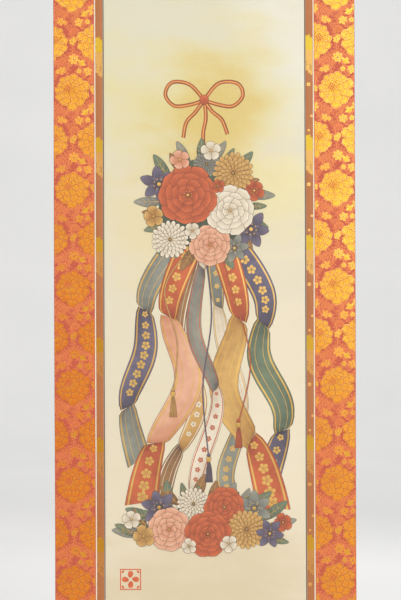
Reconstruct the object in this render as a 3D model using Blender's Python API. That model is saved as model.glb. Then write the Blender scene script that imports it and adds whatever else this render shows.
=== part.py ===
"""A picture scroll that hangs by its top edge: a painted silk panel inside a dark line, a narrow
copper-coloured brocade strip, a white line and a wide gold-figured brocade mount.

Metres, +Z up, +X to the right as seen from the front, and the painted face towards -Y.
The origin is the middle of the top edge, on the face of the cloth.
"""

from dataclasses import dataclass
from math import radians

import bmesh
import bpy
from mathutils import Matrix, Vector

# The whole scroll
SCROLL_WIDTH = 0.545
SCROLL_LENGTH = 1.900
TOP_PANEL_LENGTH = 0.455
BOTTOM_PANEL_LENGTH = 0.250

# The frames round the picture, outermost first, as their width at each side
PILLAR_WIDTH = 0.0740
WHITE_LINE_WIDTH = 0.0018
INNER_STRIP_WIDTH = 0.0135
DARK_LINE_WIDTH = 0.0020

# Thicknesses, all with their back in one plane but for the hems and the raised white line
BROCADE_THICKNESS = 0.0012
PAINTING_THICKNESS = 0.0010
WHITE_LINE_THICKNESS = 0.0016
DARK_LINE_THICKNESS = 0.0011
HEM_THICKNESS = 0.0008

# Cloth turned over to the back at the outer edges
SIDE_HEM_WIDTH = 0.006
END_HEM_LENGTH = 0.022

# Clearance between pieces that meet edge to edge
JOINT_GAP = 0.0003

# The spacing of the cross rows and lengthwise columns in which the cloth can bend
ROW_STEP = 0.040
COLUMN_STEP = 0.045

# How far the side edges lie behind the middle, and how far the foot curls to the front
EDGE_SET_BACK = 0.004
FOOT_CURL = 0.011
FOOT_CURL_LENGTH = 0.42
FOOT_CURL_SKEW = 0.22


@dataclass(frozen=True)
class Swell:
    """A soft roll across the scroll, left from the time it lay rolled up."""

    below_top: float
    half_length: float
    forward: float
    skew: float


SWELLS = (
    Swell(below_top=0.24, half_length=0.20, forward=0.0022, skew=0.15),
    Swell(below_top=0.63, half_length=0.24, forward=-0.0018, skew=-0.20),
    Swell(below_top=1.06, half_length=0.26, forward=0.0024, skew=0.10),
    Swell(below_top=1.46, half_length=0.22, forward=-0.0026, skew=-0.12),
)


@dataclass(frozen=True)
class Area:
    """An upright rectangle on the face of the scroll."""

    left: float
    right: float
    top: float
    bottom: float

    def outset(self, margin):
        """The rectangle that is larger by the margin on each side."""
        return Area(self.left - margin, self.right + margin, self.top + margin, self.bottom - margin)


@dataclass(frozen=True)
class Cloth:
    """What one kind of cloth is made of: its thickness and the finish of its face."""

    thickness: float
    colour: tuple
    roughness: float
    metallic: float = 0.0


PAINTED_SILK = Cloth(PAINTING_THICKNESS, (0.80, 0.72, 0.52, 1.0), 0.75)
DARK_PAPER = Cloth(DARK_LINE_THICKNESS, (0.10, 0.08, 0.04, 1.0), 0.60)
COPPER_BROCADE = Cloth(BROCADE_THICKNESS, (0.42, 0.19, 0.09, 1.0), 0.50, 0.15)
WHITE_CORD = Cloth(WHITE_LINE_THICKNESS, (0.85, 0.74, 0.56, 1.0), 0.60)
GOLD_BROCADE = Cloth(BROCADE_THICKNESS, (0.72, 0.28, 0.07, 1.0), 0.45, 0.25)


def clear_scene():
    """Removes every object, so that only the scroll is left."""
    for thing in list(bpy.data.objects):
        bpy.data.objects.remove(thing, do_unlink=True)


def hang_offset(x, z):
    """How far behind the flat plane the hanging cloth lies at a place on its face."""
    across = x / (SCROLL_WIDTH / 2)
    down = -z
    behind = EDGE_SET_BACK * across**2
    for swell in SWELLS:
        reach = (down - swell.below_top) / swell.half_length
        if abs(reach) < 1:
            behind -= swell.forward * (1 + swell.skew * across) * (1 - reach**2) ** 2
    curl = max(0.0, 1 - (SCROLL_LENGTH - down) / FOOT_CURL_LENGTH)
    return behind - FOOT_CURL * (1 + FOOT_CURL_SKEW * across) * curl**2


def steps_between(low, high, step):
    """The multiples of the step that lie well inside low and high."""
    first, last = int(low / step) - 1, int(high / step) + 1
    inside = [index * step for index in range(first, last + 1)]
    return [value for value in inside if low + step / 8 < value < high - step / 8]


def cut_across(mesh, place, normal):
    """Divides every face of the mesh along one plane."""
    everything = mesh.verts[:] + mesh.edges[:] + mesh.faces[:]
    bmesh.ops.bisect_plane(mesh, geom=everything, plane_co=place, plane_no=normal)


def flat_sheet(area, rows, columns):
    """A flat upright sheet that faces -Y, divided at the given heights and widths."""
    mesh = bmesh.new()
    bmesh.ops.create_grid(mesh, x_segments=1, y_segments=1, size=0.5)
    bmesh.ops.rotate(mesh, verts=mesh.verts[:], matrix=Matrix.Rotation(radians(90), 3, "X"))
    size = Vector((area.right - area.left, 1.0, area.top - area.bottom))
    bmesh.ops.scale(mesh, vec=size, verts=mesh.verts[:])
    centre = Vector(((area.left + area.right) / 2, 0.0, (area.top + area.bottom) / 2))
    bmesh.ops.translate(mesh, vec=centre, verts=mesh.verts[:])
    for height in rows:
        cut_across(mesh, Vector((0.0, 0.0, height)), Vector((0.0, 0.0, 1.0)))
    for width in columns:
        cut_across(mesh, Vector((width, 0.0, 0.0)), Vector((1.0, 0.0, 0.0)))
    return mesh


def thicken(mesh, faces, thickness):
    """Draws the faces out towards the back and gives the faces that now form the back."""
    edges = list({edge for face in faces for edge in face.edges})
    drawn = bmesh.ops.extrude_face_region(mesh, geom=faces + edges)["geom"]
    moved = [part for part in drawn if isinstance(part, bmesh.types.BMVert)]
    bmesh.ops.translate(mesh, vec=Vector((0.0, thickness, 0.0)), verts=moved)
    return [part for part in drawn if isinstance(part, bmesh.types.BMFace)]


def hem_lines(area, hems):
    """The widths and heights at which the turned-over edges of a sheet end."""
    columns, rows = [], []
    if "left" in hems:
        columns.append(area.left + SIDE_HEM_WIDTH)
    if "right" in hems:
        columns.append(area.right - SIDE_HEM_WIDTH)
    if "top" in hems:
        rows.append(area.top - END_HEM_LENGTH)
    if "bottom" in hems:
        rows.append(area.bottom + END_HEM_LENGTH)
    return columns, rows


def in_hem(place, area, hems):
    """Whether a place on the back of a sheet lies on one of its turned-over edges."""
    return (
        ("left" in hems and place.x < area.left + SIDE_HEM_WIDTH)
        or ("right" in hems and place.x > area.right - SIDE_HEM_WIDTH)
        or ("top" in hems and place.z > area.top - END_HEM_LENGTH)
        or ("bottom" in hems and place.z < area.bottom + END_HEM_LENGTH)
    )


def clear_of(values, lines, spare):
    """The values that stay at least the spare distance from every line."""
    return [value for value in values if all(abs(value - line) > spare for line in lines)]


def cloth_mesh(area, cloth, hems):
    """A hanging sheet of cloth with its hems, as one closed body."""
    hem_columns, hem_rows = hem_lines(area, hems)
    rows = clear_of(steps_between(area.bottom, area.top, ROW_STEP), hem_rows, END_HEM_LENGTH / 4)
    columns = clear_of(
        steps_between(area.left, area.right, COLUMN_STEP), hem_columns, SIDE_HEM_WIDTH / 2
    )
    mesh = flat_sheet(area, rows + hem_rows, columns + hem_columns)
    bmesh.ops.translate(
        mesh, vec=Vector((0.0, BROCADE_THICKNESS - cloth.thickness, 0.0)), verts=mesh.verts[:]
    )
    back = thicken(mesh, mesh.faces[:], cloth.thickness)
    turned_over = [face for face in back if in_hem(face.calc_center_median(), area, hems)]
    if turned_over:
        thicken(mesh, turned_over, HEM_THICKNESS)
    for vertex in mesh.verts:
        vertex.co.y += hang_offset(vertex.co.x, vertex.co.z)
    bmesh.ops.recalc_face_normals(mesh, faces=mesh.faces[:])
    return mesh


def finish_material(name, cloth):
    """The plain finish of one kind of cloth."""
    material = bpy.data.materials.new(name)
    material.use_nodes = True
    shader = material.node_tree.nodes["Principled BSDF"]
    shader.inputs["Base Color"].default_value = cloth.colour
    shader.inputs["Roughness"].default_value = cloth.roughness
    shader.inputs["Metallic"].default_value = cloth.metallic
    return material


def add_piece(name, area, cloth, hems=()):
    """Adds one piece of cloth to the scene, under its own name and with its own finish."""
    shape = cloth_mesh(area, cloth, hems)
    data = bpy.data.meshes.new(name)
    shape.to_mesh(data)
    shape.free()
    piece = bpy.data.objects.new(name, data)
    piece.data.materials.append(finish_material(name + "_finish", cloth))
    bpy.context.scene.collection.objects.link(piece)


def add_frame(name, inner, side, top, bottom, cloth, is_outermost=False):
    """Adds the four members of one frame round the inner area: the upper and lower ones run the
    full width, and the upright ones stand between them. Gives the area inside its outer edge."""
    outer = Area(inner.left - side, inner.right + side, inner.top + top, inner.bottom - bottom)
    play = JOINT_GAP / 2
    edge = outer if is_outermost else outer.outset(-play)
    near = inner.outset(play)
    left_hems = ("left",) if is_outermost else ()
    right_hems = ("right",) if is_outermost else ()
    top_hems = ("left", "right", "top") if is_outermost else ()
    bottom_hems = ("left", "right", "bottom") if is_outermost else ()
    upright_top, upright_bottom = inner.top - play, inner.bottom + play
    add_piece(name + "_top", Area(edge.left, edge.right, edge.top, near.top), cloth, top_hems)
    add_piece(
        name + "_bottom", Area(edge.left, edge.right, near.bottom, edge.bottom), cloth, bottom_hems
    )
    add_piece(
        name + "_left", Area(edge.left, near.left, upright_top, upright_bottom), cloth, left_hems
    )
    add_piece(
        name + "_right", Area(near.right, edge.right, upright_top, upright_bottom), cloth, right_hems
    )
    return outer


def build_scroll():
    """Builds the painting and its four frames, from the middle outwards."""
    sides = PILLAR_WIDTH + WHITE_LINE_WIDTH + INNER_STRIP_WIDTH + DARK_LINE_WIDTH
    lines = sides - PILLAR_WIDTH
    half_picture = SCROLL_WIDTH / 2 - sides
    picture = Area(
        left=-half_picture,
        right=half_picture,
        top=-(TOP_PANEL_LENGTH + lines),
        bottom=-(SCROLL_LENGTH - BOTTOM_PANEL_LENGTH - lines),
    )
    add_piece("painting_panel", picture.outset(-JOINT_GAP / 2), PAINTED_SILK)
    area = picture
    narrow_frames = (
        ("dark_line", DARK_LINE_WIDTH, DARK_PAPER),
        ("inner_strip", INNER_STRIP_WIDTH, COPPER_BROCADE),
        ("white_line", WHITE_LINE_WIDTH, WHITE_CORD),
    )
    for name, width, cloth in narrow_frames:
        area = add_frame(name, area, width, width, width, cloth)
    add_frame(
        "brocade",
        area,
        PILLAR_WIDTH,
        TOP_PANEL_LENGTH,
        BOTTOM_PANEL_LENGTH,
        GOLD_BROCADE,
        is_outermost=True,
    )


clear_scene()
build_scroll()
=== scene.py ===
"""Dresses a hanging picture scroll: a painted silk panel of a flower ball with streaming ribbons,
a dark line, copper-coloured strips with gold bars, white lines, and an orange brocade with gold
peonies all round.

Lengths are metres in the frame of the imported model: +X to the right, +Z up, the painted face towards
-Y. Motifs are drawn flat, in millimetres with x to the right and y up, and MM turns them to metres.
"""

import logging
from collections.abc import Callable, Sequence
from dataclasses import dataclass
from enum import Enum
from math import atan2, cos, degrees, hypot, pi, radians, sin, sqrt

import bmesh
import bpy
from mathutils import Matrix, Vector


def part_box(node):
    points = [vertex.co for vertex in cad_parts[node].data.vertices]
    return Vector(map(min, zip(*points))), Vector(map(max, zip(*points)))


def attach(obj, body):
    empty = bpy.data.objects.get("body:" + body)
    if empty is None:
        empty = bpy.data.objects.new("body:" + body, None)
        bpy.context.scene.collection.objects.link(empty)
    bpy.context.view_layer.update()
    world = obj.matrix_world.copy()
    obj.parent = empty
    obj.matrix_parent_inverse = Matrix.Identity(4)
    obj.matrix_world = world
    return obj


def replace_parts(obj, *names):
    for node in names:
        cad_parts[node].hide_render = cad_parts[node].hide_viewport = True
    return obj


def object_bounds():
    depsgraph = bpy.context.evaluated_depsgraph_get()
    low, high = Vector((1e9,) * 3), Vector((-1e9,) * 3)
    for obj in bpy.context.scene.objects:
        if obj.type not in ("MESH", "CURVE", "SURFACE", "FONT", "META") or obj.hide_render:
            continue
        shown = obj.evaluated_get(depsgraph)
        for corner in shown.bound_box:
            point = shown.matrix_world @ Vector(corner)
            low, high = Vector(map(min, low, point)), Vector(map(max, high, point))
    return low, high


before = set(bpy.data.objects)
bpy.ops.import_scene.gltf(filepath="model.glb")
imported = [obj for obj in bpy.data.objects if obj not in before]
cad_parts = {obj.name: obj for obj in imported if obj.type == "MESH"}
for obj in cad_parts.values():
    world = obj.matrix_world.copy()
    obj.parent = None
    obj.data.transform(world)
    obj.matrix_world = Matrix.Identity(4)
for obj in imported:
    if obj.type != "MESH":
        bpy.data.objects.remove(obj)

CAD_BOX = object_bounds()
LOG = logging.getLogger("scroll")
MM = 0.001
SHARP_PAST = radians(40)
Colour = tuple[float, float, float]
Point = tuple[float, float]
Material = bpy.types.Material
Materials = Sequence[Material]
Piece = bpy.types.Object
DrawnMesh = bpy.types.Mesh
Mesh = bmesh.types.BMesh
Edges = list[bmesh.types.BMEdge]
Faces = list[bmesh.types.BMFace]
Tree = bpy.types.NodeTree
Node = bpy.types.Node
Socket = bpy.types.NodeSocket


def linear(red: int, green: int, blue: int) -> Colour:
    """Turns a colour as a screen shows it, 0 to 255, into the linear colour that shaders take."""
    shares = [value / 255 for value in (red, green, blue)]
    return tuple(v / 12.92 if v <= 0.04045 else ((v + 0.055) / 1.055) ** 2.4 for v in shares)


@dataclass(frozen=True)
class Area:
    """An upright rectangle on the face of the scroll."""

    left: float
    right: float
    bottom: float
    top: float

    @classmethod
    def of_node(cls, node: str) -> "Area":
        """The area that a solid of the frame covers."""
        low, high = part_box(node)
        return cls(low.x, high.x, low.z, high.z)

    @property
    def width(self) -> float:
        """The size from left to right."""
        return self.right - self.left

    @property
    def height(self) -> float:
        """The size from bottom to top."""
        return self.top - self.bottom

    @property
    def centre(self) -> Point:
        """The middle, as x and z."""
        return (self.left + self.right) / 2, (self.bottom + self.top) / 2


@dataclass(frozen=True)
class Swell:
    """A soft roll across the scroll, left from the time it lay rolled up."""

    below_top: float
    half_length: float
    forward: float
    skew: float


@dataclass(frozen=True)
class Cockle:
    """A faint wave that pasted cloth keeps, slanting across the scroll."""

    height: float
    across: float
    along: float
    start: float


@dataclass(frozen=True)
class Hang:
    """The shape in which the scroll hangs, as its solids have it, with faint cockles added."""

    half_width: float
    length: float
    edge_set_back: float = 0.004
    foot_curl: float = 0.011
    foot_curl_length: float = 0.42
    foot_curl_skew: float = 0.22
    swells: tuple[Swell, ...] = (
        Swell(below_top=0.24, half_length=0.20, forward=0.0022, skew=0.15),
        Swell(below_top=0.63, half_length=0.24, forward=-0.0018, skew=-0.20),
        Swell(below_top=1.06, half_length=0.26, forward=0.0024, skew=0.10),
        Swell(below_top=1.46, half_length=0.22, forward=-0.0026, skew=-0.12),
    )
    cockles: tuple[Cockle, ...] = (
        Cockle(height=0.00016, across=0.31, along=0.19, start=0.4),
        Cockle(height=0.00012, across=-0.23, along=0.115, start=1.9),
        Cockle(height=0.00008, across=0.12, along=0.083, start=3.1),
    )

    def behind(self, x: float, z: float) -> float:
        """How far behind the flat plane the cloth lies.

        Args:
            x: Place across the scroll, from its middle.
            z: Place along the scroll, from its top edge and so negative.

        Returns:
            The distance towards +Y.
        """
        across = x / self.half_width
        down = -z
        distance = self.edge_set_back * across**2
        for swell in self.swells:
            reach = (down - swell.below_top) / swell.half_length
            if abs(reach) < 1:
                distance -= swell.forward * (1 + swell.skew * across) * (1 - reach**2) ** 2
        for cockle in self.cockles:
            turns = x / cockle.across + z / cockle.along
            distance += cockle.height * sin(2 * pi * turns + cockle.start)
        curl = max(0.0, 1 - (self.length - down) / self.foot_curl_length)
        return distance - self.foot_curl * (1 + self.foot_curl_skew * across) * curl**2

    def lay(self, mesh: Mesh, level: float = 0.0) -> None:
        """Moves an upright flat mesh into the shape of the hanging cloth.

        Args:
            mesh: The mesh, with its face side near y 0.
            level: How far behind the brocade's face the mesh starts.
        """
        for vertex in mesh.verts:
            vertex.co.y += level + self.behind(vertex.co.x, vertex.co.z)


HANG = Hang(half_width=CAD_BOX[1].x, length=-CAD_BOX[0].z)


class Nodes:
    """Adds linked nodes to one node tree."""

    def __init__(self, tree: Tree) -> None:
        """Keeps the tree that the nodes go into."""
        self.tree = tree

    def add(self, kind: str, *inputs: object, named: dict | None = None, **settings: object) -> Node:
        """Adds a node.

        Args:
            kind: The node's type name.
            inputs: Values or output sockets for its inputs in order, None to leave one as it is.
            named: Values or output sockets for inputs by their names.
            settings: The node's own settings.

        Returns:
            The new node.
        """
        node = self.tree.nodes.new(kind)
        for name, value in settings.items():
            setattr(node, name, value)
        for index, value in enumerate(inputs):
            self._feed(node.inputs[index], value)
        for name, value in (named or {}).items():
            self._feed(node.inputs[name], value)
        return node

    def _feed(self, socket: Socket, value: object) -> None:
        """Links or sets one input.

        Args:
            socket: The input.
            value: A value or an output socket, or None to leave the input as it is.
        """
        if value is None:
            return
        if isinstance(value, Socket):
            self.tree.links.new(value, socket)
        elif isinstance(value, tuple) and socket.type == "RGBA":
            socket.default_value = (*value, 1.0)
        else:
            socket.default_value = value

    def maths(self, operation: str, *values: object, clamp: bool = False) -> Socket:
        """Adds a sum on values and gives its result."""
        return self.add("ShaderNodeMath", *values, operation=operation, use_clamp=clamp).outputs[0]

    def blend(self, share: object, first: object, second: object, way: str = "MIX") -> Socket:
        """Mixes two colours.

        Args:
            share: How much of the second colour there is.
            first: A colour or an output socket.
            second: As the first.
            way: The way of mixing.

        Returns:
            The mixed colour.
        """
        node = self.add("ShaderNodeMix", data_type="RGBA", blend_type=way)
        for name, value in (("Factor_Float", share), ("A_Color", first), ("B_Color", second)):
            self._feed(next(s for s in node.inputs if s.identifier == name), value)
        return next(s for s in node.outputs if s.identifier == "Result_Color")

    def spread(
        self, value: object, low: float, high: float, to_low: float, to_high: float, way: str = "LINEAR"
    ) -> Socket:
        """Maps a value from one range to another, held at its ends."""
        ends = (low, high, to_low, to_high)
        return self.add("ShaderNodeMapRange", value, *ends, interpolation_type=way).outputs[0]

    def stretched(self, place: Socket, by: object) -> Socket:
        """Stretches a place by a factor for each of its axes."""
        return self.add("ShaderNodeVectorMath", place, by, operation="MULTIPLY").outputs[0]

    def noise(self, place: Socket, scale: float, detail: float, rough: float = 0.5) -> Socket:
        """Adds a noise that reads a place and gives its value."""
        named = {"Scale": scale, "Detail": detail, "Roughness": rough}
        return self.add("ShaderNodeTexNoise", place, named=named).outputs["Fac"]

    def tone(self) -> Socket:
        """Gives the tone that the mesh carries, 0 dark and 1 light."""
        return self.add("ShaderNodeAttribute", attribute_name="tone").outputs["Fac"]

    def effect(self, group: Tree, place: Socket, **values: float) -> Node:
        """Adds a shared effect that reads a place and some values."""
        return self.add("ShaderNodeGroup", node_tree=group, named={"Place": place, **values})

    def give(self, **values: Socket) -> None:
        """Feeds the outputs of a group by their names."""
        self.add("NodeGroupOutput", named=values)

    def dress(
        self, shader: Node, base: Socket, rough: Socket, height: Socket, relief: float, share: float
    ) -> None:
        """Feeds a shader.

        Args:
            shader: The material's shader.
            base: Its colour.
            rough: Its roughness.
            height: The height of its relief, from 0 to 1.
            relief: The depth of the relief in metres.
            share: How strongly the relief shows.
        """
        self._feed(shader.inputs["Base Color"], base)
        self._feed(shader.inputs["Roughness"], rough)
        bump = self.add("ShaderNodeBump", named={"Strength": share, "Distance": relief, "Height": height})
        self._feed(shader.inputs["Normal"], bump.outputs["Normal"])


def new_group(name: str, takes: dict[str, float], gives: tuple[str, ...]) -> tuple[Tree, Nodes]:
    """Starts a node group that reads a place and some values.

    Args:
        name: The group's name.
        takes: Its value inputs and their usual values, after the input called Place.
        gives: Its value outputs.

    Returns:
        The group's tree and a maker of nodes in it.
    """
    tree = bpy.data.node_groups.new(name, "ShaderNodeTree")
    tree.interface.new_socket("Place", in_out="INPUT", socket_type="NodeSocketVector")
    for title, usual in takes.items():
        socket = tree.interface.new_socket(title, in_out="INPUT", socket_type="NodeSocketFloat")
        socket.default_value = usual
    for title in gives:
        tree.interface.new_socket(title, in_out="OUTPUT", socket_type="NodeSocketFloat")
    return tree, Nodes(tree)


def weave_group() -> Tree:
    """The weave effect: threads over and under each other, and their uneven dye.

    Returns:
        A group that takes Place, Warp and Weft as thread widths in metres and Ribbed from 0, plain
        weave, to 1, weft ribs alone, and gives Height and Fleck.
    """
    tree, nodes = new_group("weave", {"Warp": 0.0004, "Weft": 0.0004, "Ribbed": 0.5}, ("Height", "Fleck"))
    takes = nodes.add("NodeGroupInput").outputs
    place = nodes.add("ShaderNodeSeparateXYZ", takes["Place"]).outputs
    waves = []
    for axis, thread in (("X", "Warp"), ("Z", "Weft")):
        turns = nodes.maths("DIVIDE", place[axis], takes[thread])
        waves.append(nodes.maths("SINE", nodes.maths("MULTIPLY", turns, pi)))
    checker = nodes.maths("MULTIPLY_ADD", nodes.maths("MULTIPLY", *waves), 0.5, 0.5)
    ribs = nodes.maths("ABSOLUTE", waves[1])
    plain = nodes.maths("MULTIPLY", checker, nodes.maths("SUBTRACT", 1.0, takes["Ribbed"]))
    height = nodes.maths("ADD", plain, nodes.maths("MULTIPLY", ribs, takes["Ribbed"]))
    long_threads = nodes.stretched(takes["Place"], (60.0, 60.0, 1400.0))
    nodes.give(Height=height, Fleck=nodes.noise(long_threads, 1.0, 1.0))
    return tree


def mottle_group() -> Tree:
    """The mottle effect: the slow and the fine unevenness of an old finish.

    Returns:
        A group that takes Place, Size as the patches' size in metres and Stretch as how much longer
        they are from side to side, and gives Patches and Grain, both about 0 to 1.
    """
    tree, nodes = new_group("mottle", {"Size": 0.08, "Stretch": 1.0}, ("Patches", "Grain"))
    takes = nodes.add("NodeGroupInput").outputs
    frequency = nodes.maths("DIVIDE", 1.0, takes["Size"])
    sideways = nodes.maths("DIVIDE", frequency, takes["Stretch"])
    scale = nodes.add("ShaderNodeCombineXYZ", sideways, frequency, frequency).outputs[0]
    place = nodes.stretched(takes["Place"], scale)
    patches = nodes.spread(nodes.noise(place, 1.0, 3.0, 0.55), 0.3, 0.7, 0.0, 1.0)
    grain = nodes.spread(nodes.noise(place, 24.0, 2.0), 0.3, 0.7, 0.0, 1.0)
    nodes.give(Patches=patches, Grain=grain)
    return tree


def haze_group() -> Tree:
    """The haze effect: a soft patch with streaky edges.

    Returns:
        A group that takes Place, the patch's middle as X and Z and its half sizes as Wide and Tall,
        and gives Share, from 0 outside to 1 in the middle.
    """
    tree, nodes = new_group("haze", {"X": 0.0, "Z": 0.0, "Wide": 0.1, "Tall": 0.1}, ("Share",))
    takes = nodes.add("NodeGroupInput").outputs
    place = nodes.add("ShaderNodeSeparateXYZ", takes["Place"]).outputs
    drift = nodes.noise(nodes.stretched(takes["Place"], (7.0, 7.0, 15.0)), 1.0, 4.0)
    squares = []
    for axis, reach in (("X", "Wide"), ("Z", "Tall")):
        part = nodes.maths("DIVIDE", nodes.maths("SUBTRACT", place[axis], takes[axis]), takes[reach])
        squares.append(nodes.maths("MULTIPLY", part, part))
    distance = nodes.maths("SQRT", nodes.maths("ADD", *squares))
    ragged = nodes.maths("ADD", distance, nodes.spread(drift, 0.25, 0.75, -0.4, 0.4))
    nodes.give(Share=nodes.spread(ragged, 0.15, 1.0, 1.0, 0.0, "SMOOTHSTEP"))
    return tree


WEAVE = weave_group()
MOTTLE = mottle_group()
HAZE = haze_group()


def new_material(name: str) -> tuple[Material, Nodes, Node, Socket]:
    """Starts a material.

    Args:
        name: The material's name.

    Returns:
        The material, a maker of nodes in it, its shader, and the place on the object.
    """
    material = bpy.data.materials.new(name)
    material.use_nodes = True
    nodes = Nodes(material.node_tree)
    shader = material.node_tree.nodes["Principled BSDF"]
    place = nodes.add("ShaderNodeTexCoord").outputs["Object"]
    return material, nodes, shader, place


@dataclass(frozen=True)
class WovenFinish:
    """A finish of woven thread: silk, gold thread, or the backing paper's fibres."""

    name: str
    colour: Colour
    worn: Colour
    roughness: float
    metallic: float = 0.0
    sheen: float = 0.0
    warp: float = 0.0004
    weft: float = 0.0004
    ribbed: float = 0.5
    relief: float = 0.00008
    patch: float = 0.08
    patch_share: float = 0.5
    # Painted shade: the colour at the base of each petal and leaf, where the mesh's tone is low.
    deep: Colour | None = None
    shine: Colour | None = None
    shine_index: float = 4.0
    deep_matt: float = 0.2

    def build(self) -> Material:
        """Makes the material."""
        material, nodes, shader, place = new_material(self.name)
        if self.shine:
            shader.inputs["Specular Tint"].default_value = (*self.shine, 1.0)
            shader.inputs["IOR"].default_value = self.shine_index
        weave = nodes.effect(WEAVE, place, Warp=self.warp, Weft=self.weft, Ribbed=self.ribbed).outputs
        mottle = nodes.effect(MOTTLE, place, Size=self.patch).outputs
        uneven = nodes.maths("MULTIPLY", mottle["Patches"], self.patch_share)
        fleck = nodes.maths("MULTIPLY", nodes.maths("SUBTRACT", weave["Fleck"], 0.5), self.patch_share)
        share = nodes.maths("ADD", uneven, fleck, clamp=True)
        base = nodes.blend(share, self.colour, self.worn)
        rough = nodes.spread(mottle["Grain"], 0.0, 1.0, self.roughness - 0.04, self.roughness + 0.05)
        # Painted shade and highlight: the colour turns from the deep one at the base of each petal and leaf
        # to the full one at its tip, modelling the flat woven shapes as if rounded and lit.
        if self.deep:
            tone = nodes.tone()
            base = nodes.blend(nodes.spread(tone, 0.05, 0.8, 0.0, 1.0), self.deep, base)
            rough = nodes.maths("ADD", rough, nodes.spread(tone, 0.1, 0.85, self.deep_matt, 0.0))
        # Painted shade: the colour is darkened by up to 14 % in the hollows between the woven threads, where
        # shade falls.
        thread_shade = nodes.spread(weave["Height"], 0.0, 0.5, 0.86, 1.0)
        thread_shade_colour = nodes.add("ShaderNodeCombineColor", thread_shade, thread_shade, thread_shade).outputs[0]
        shaded = nodes.blend(1.0, base, thread_shade_colour, "MULTIPLY")
        shader.inputs["Metallic"].default_value = self.metallic
        shader.inputs["Sheen Weight"].default_value = self.sheen
        shader.inputs["Sheen Roughness"].default_value = 0.35
        nodes.dress(shader, shaded, rough, weave["Height"], self.relief, 0.7)
        return material


def finish_piece(mesh: Mesh, name: str, slot: str, materials: Materials) -> Piece:
    """Turns a mesh into a piece of the scroll, with its creases shown sharp.

    Args:
        mesh: The finished mesh, which is used up.
        name: The piece's name.
        slot: The record's material slot, which is not used.
        materials: Its materials, in the order of the mesh's material numbers.

    Returns:
        The new object.
    """
    data = bpy.data.meshes.new(name)
    mesh.to_mesh(data)
    mesh.free()
    for material in materials:
        data.materials.append(material)
    data.shade_smooth()
    data.set_sharp_from_angle(angle=SHARP_PAST)
    piece = bpy.data.objects.new(name, data)
    bpy.context.scene.collection.objects.link(piece)
    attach(piece, "root")
    LOG.info("%s: %d faces", name, len(data.polygons))
    return piece


def round_edges(mesh: Mesh, edges: Edges, width: float, segments: int) -> None:
    """Rounds edges with an even profile.

    Args:
        mesh: The mesh that they are on.
        edges: The edges.
        width: How far the round reaches on each side of an edge.
        segments: How many faces the round has.
    """
    bmesh.ops.bevel(
        mesh, geom=edges, offset=width, offset_type="OFFSET", segments=segments, profile=0.5,
        affect="EDGES", clamp_overlap=True, material=-1,
    )


class Side(Enum):
    """A side of a sheet, as the way it points on the face: right and up are positive."""

    LEFT = (-1, 0)
    RIGHT = (1, 0)
    TOP = (0, 1)
    BOTTOM = (0, -1)


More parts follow.
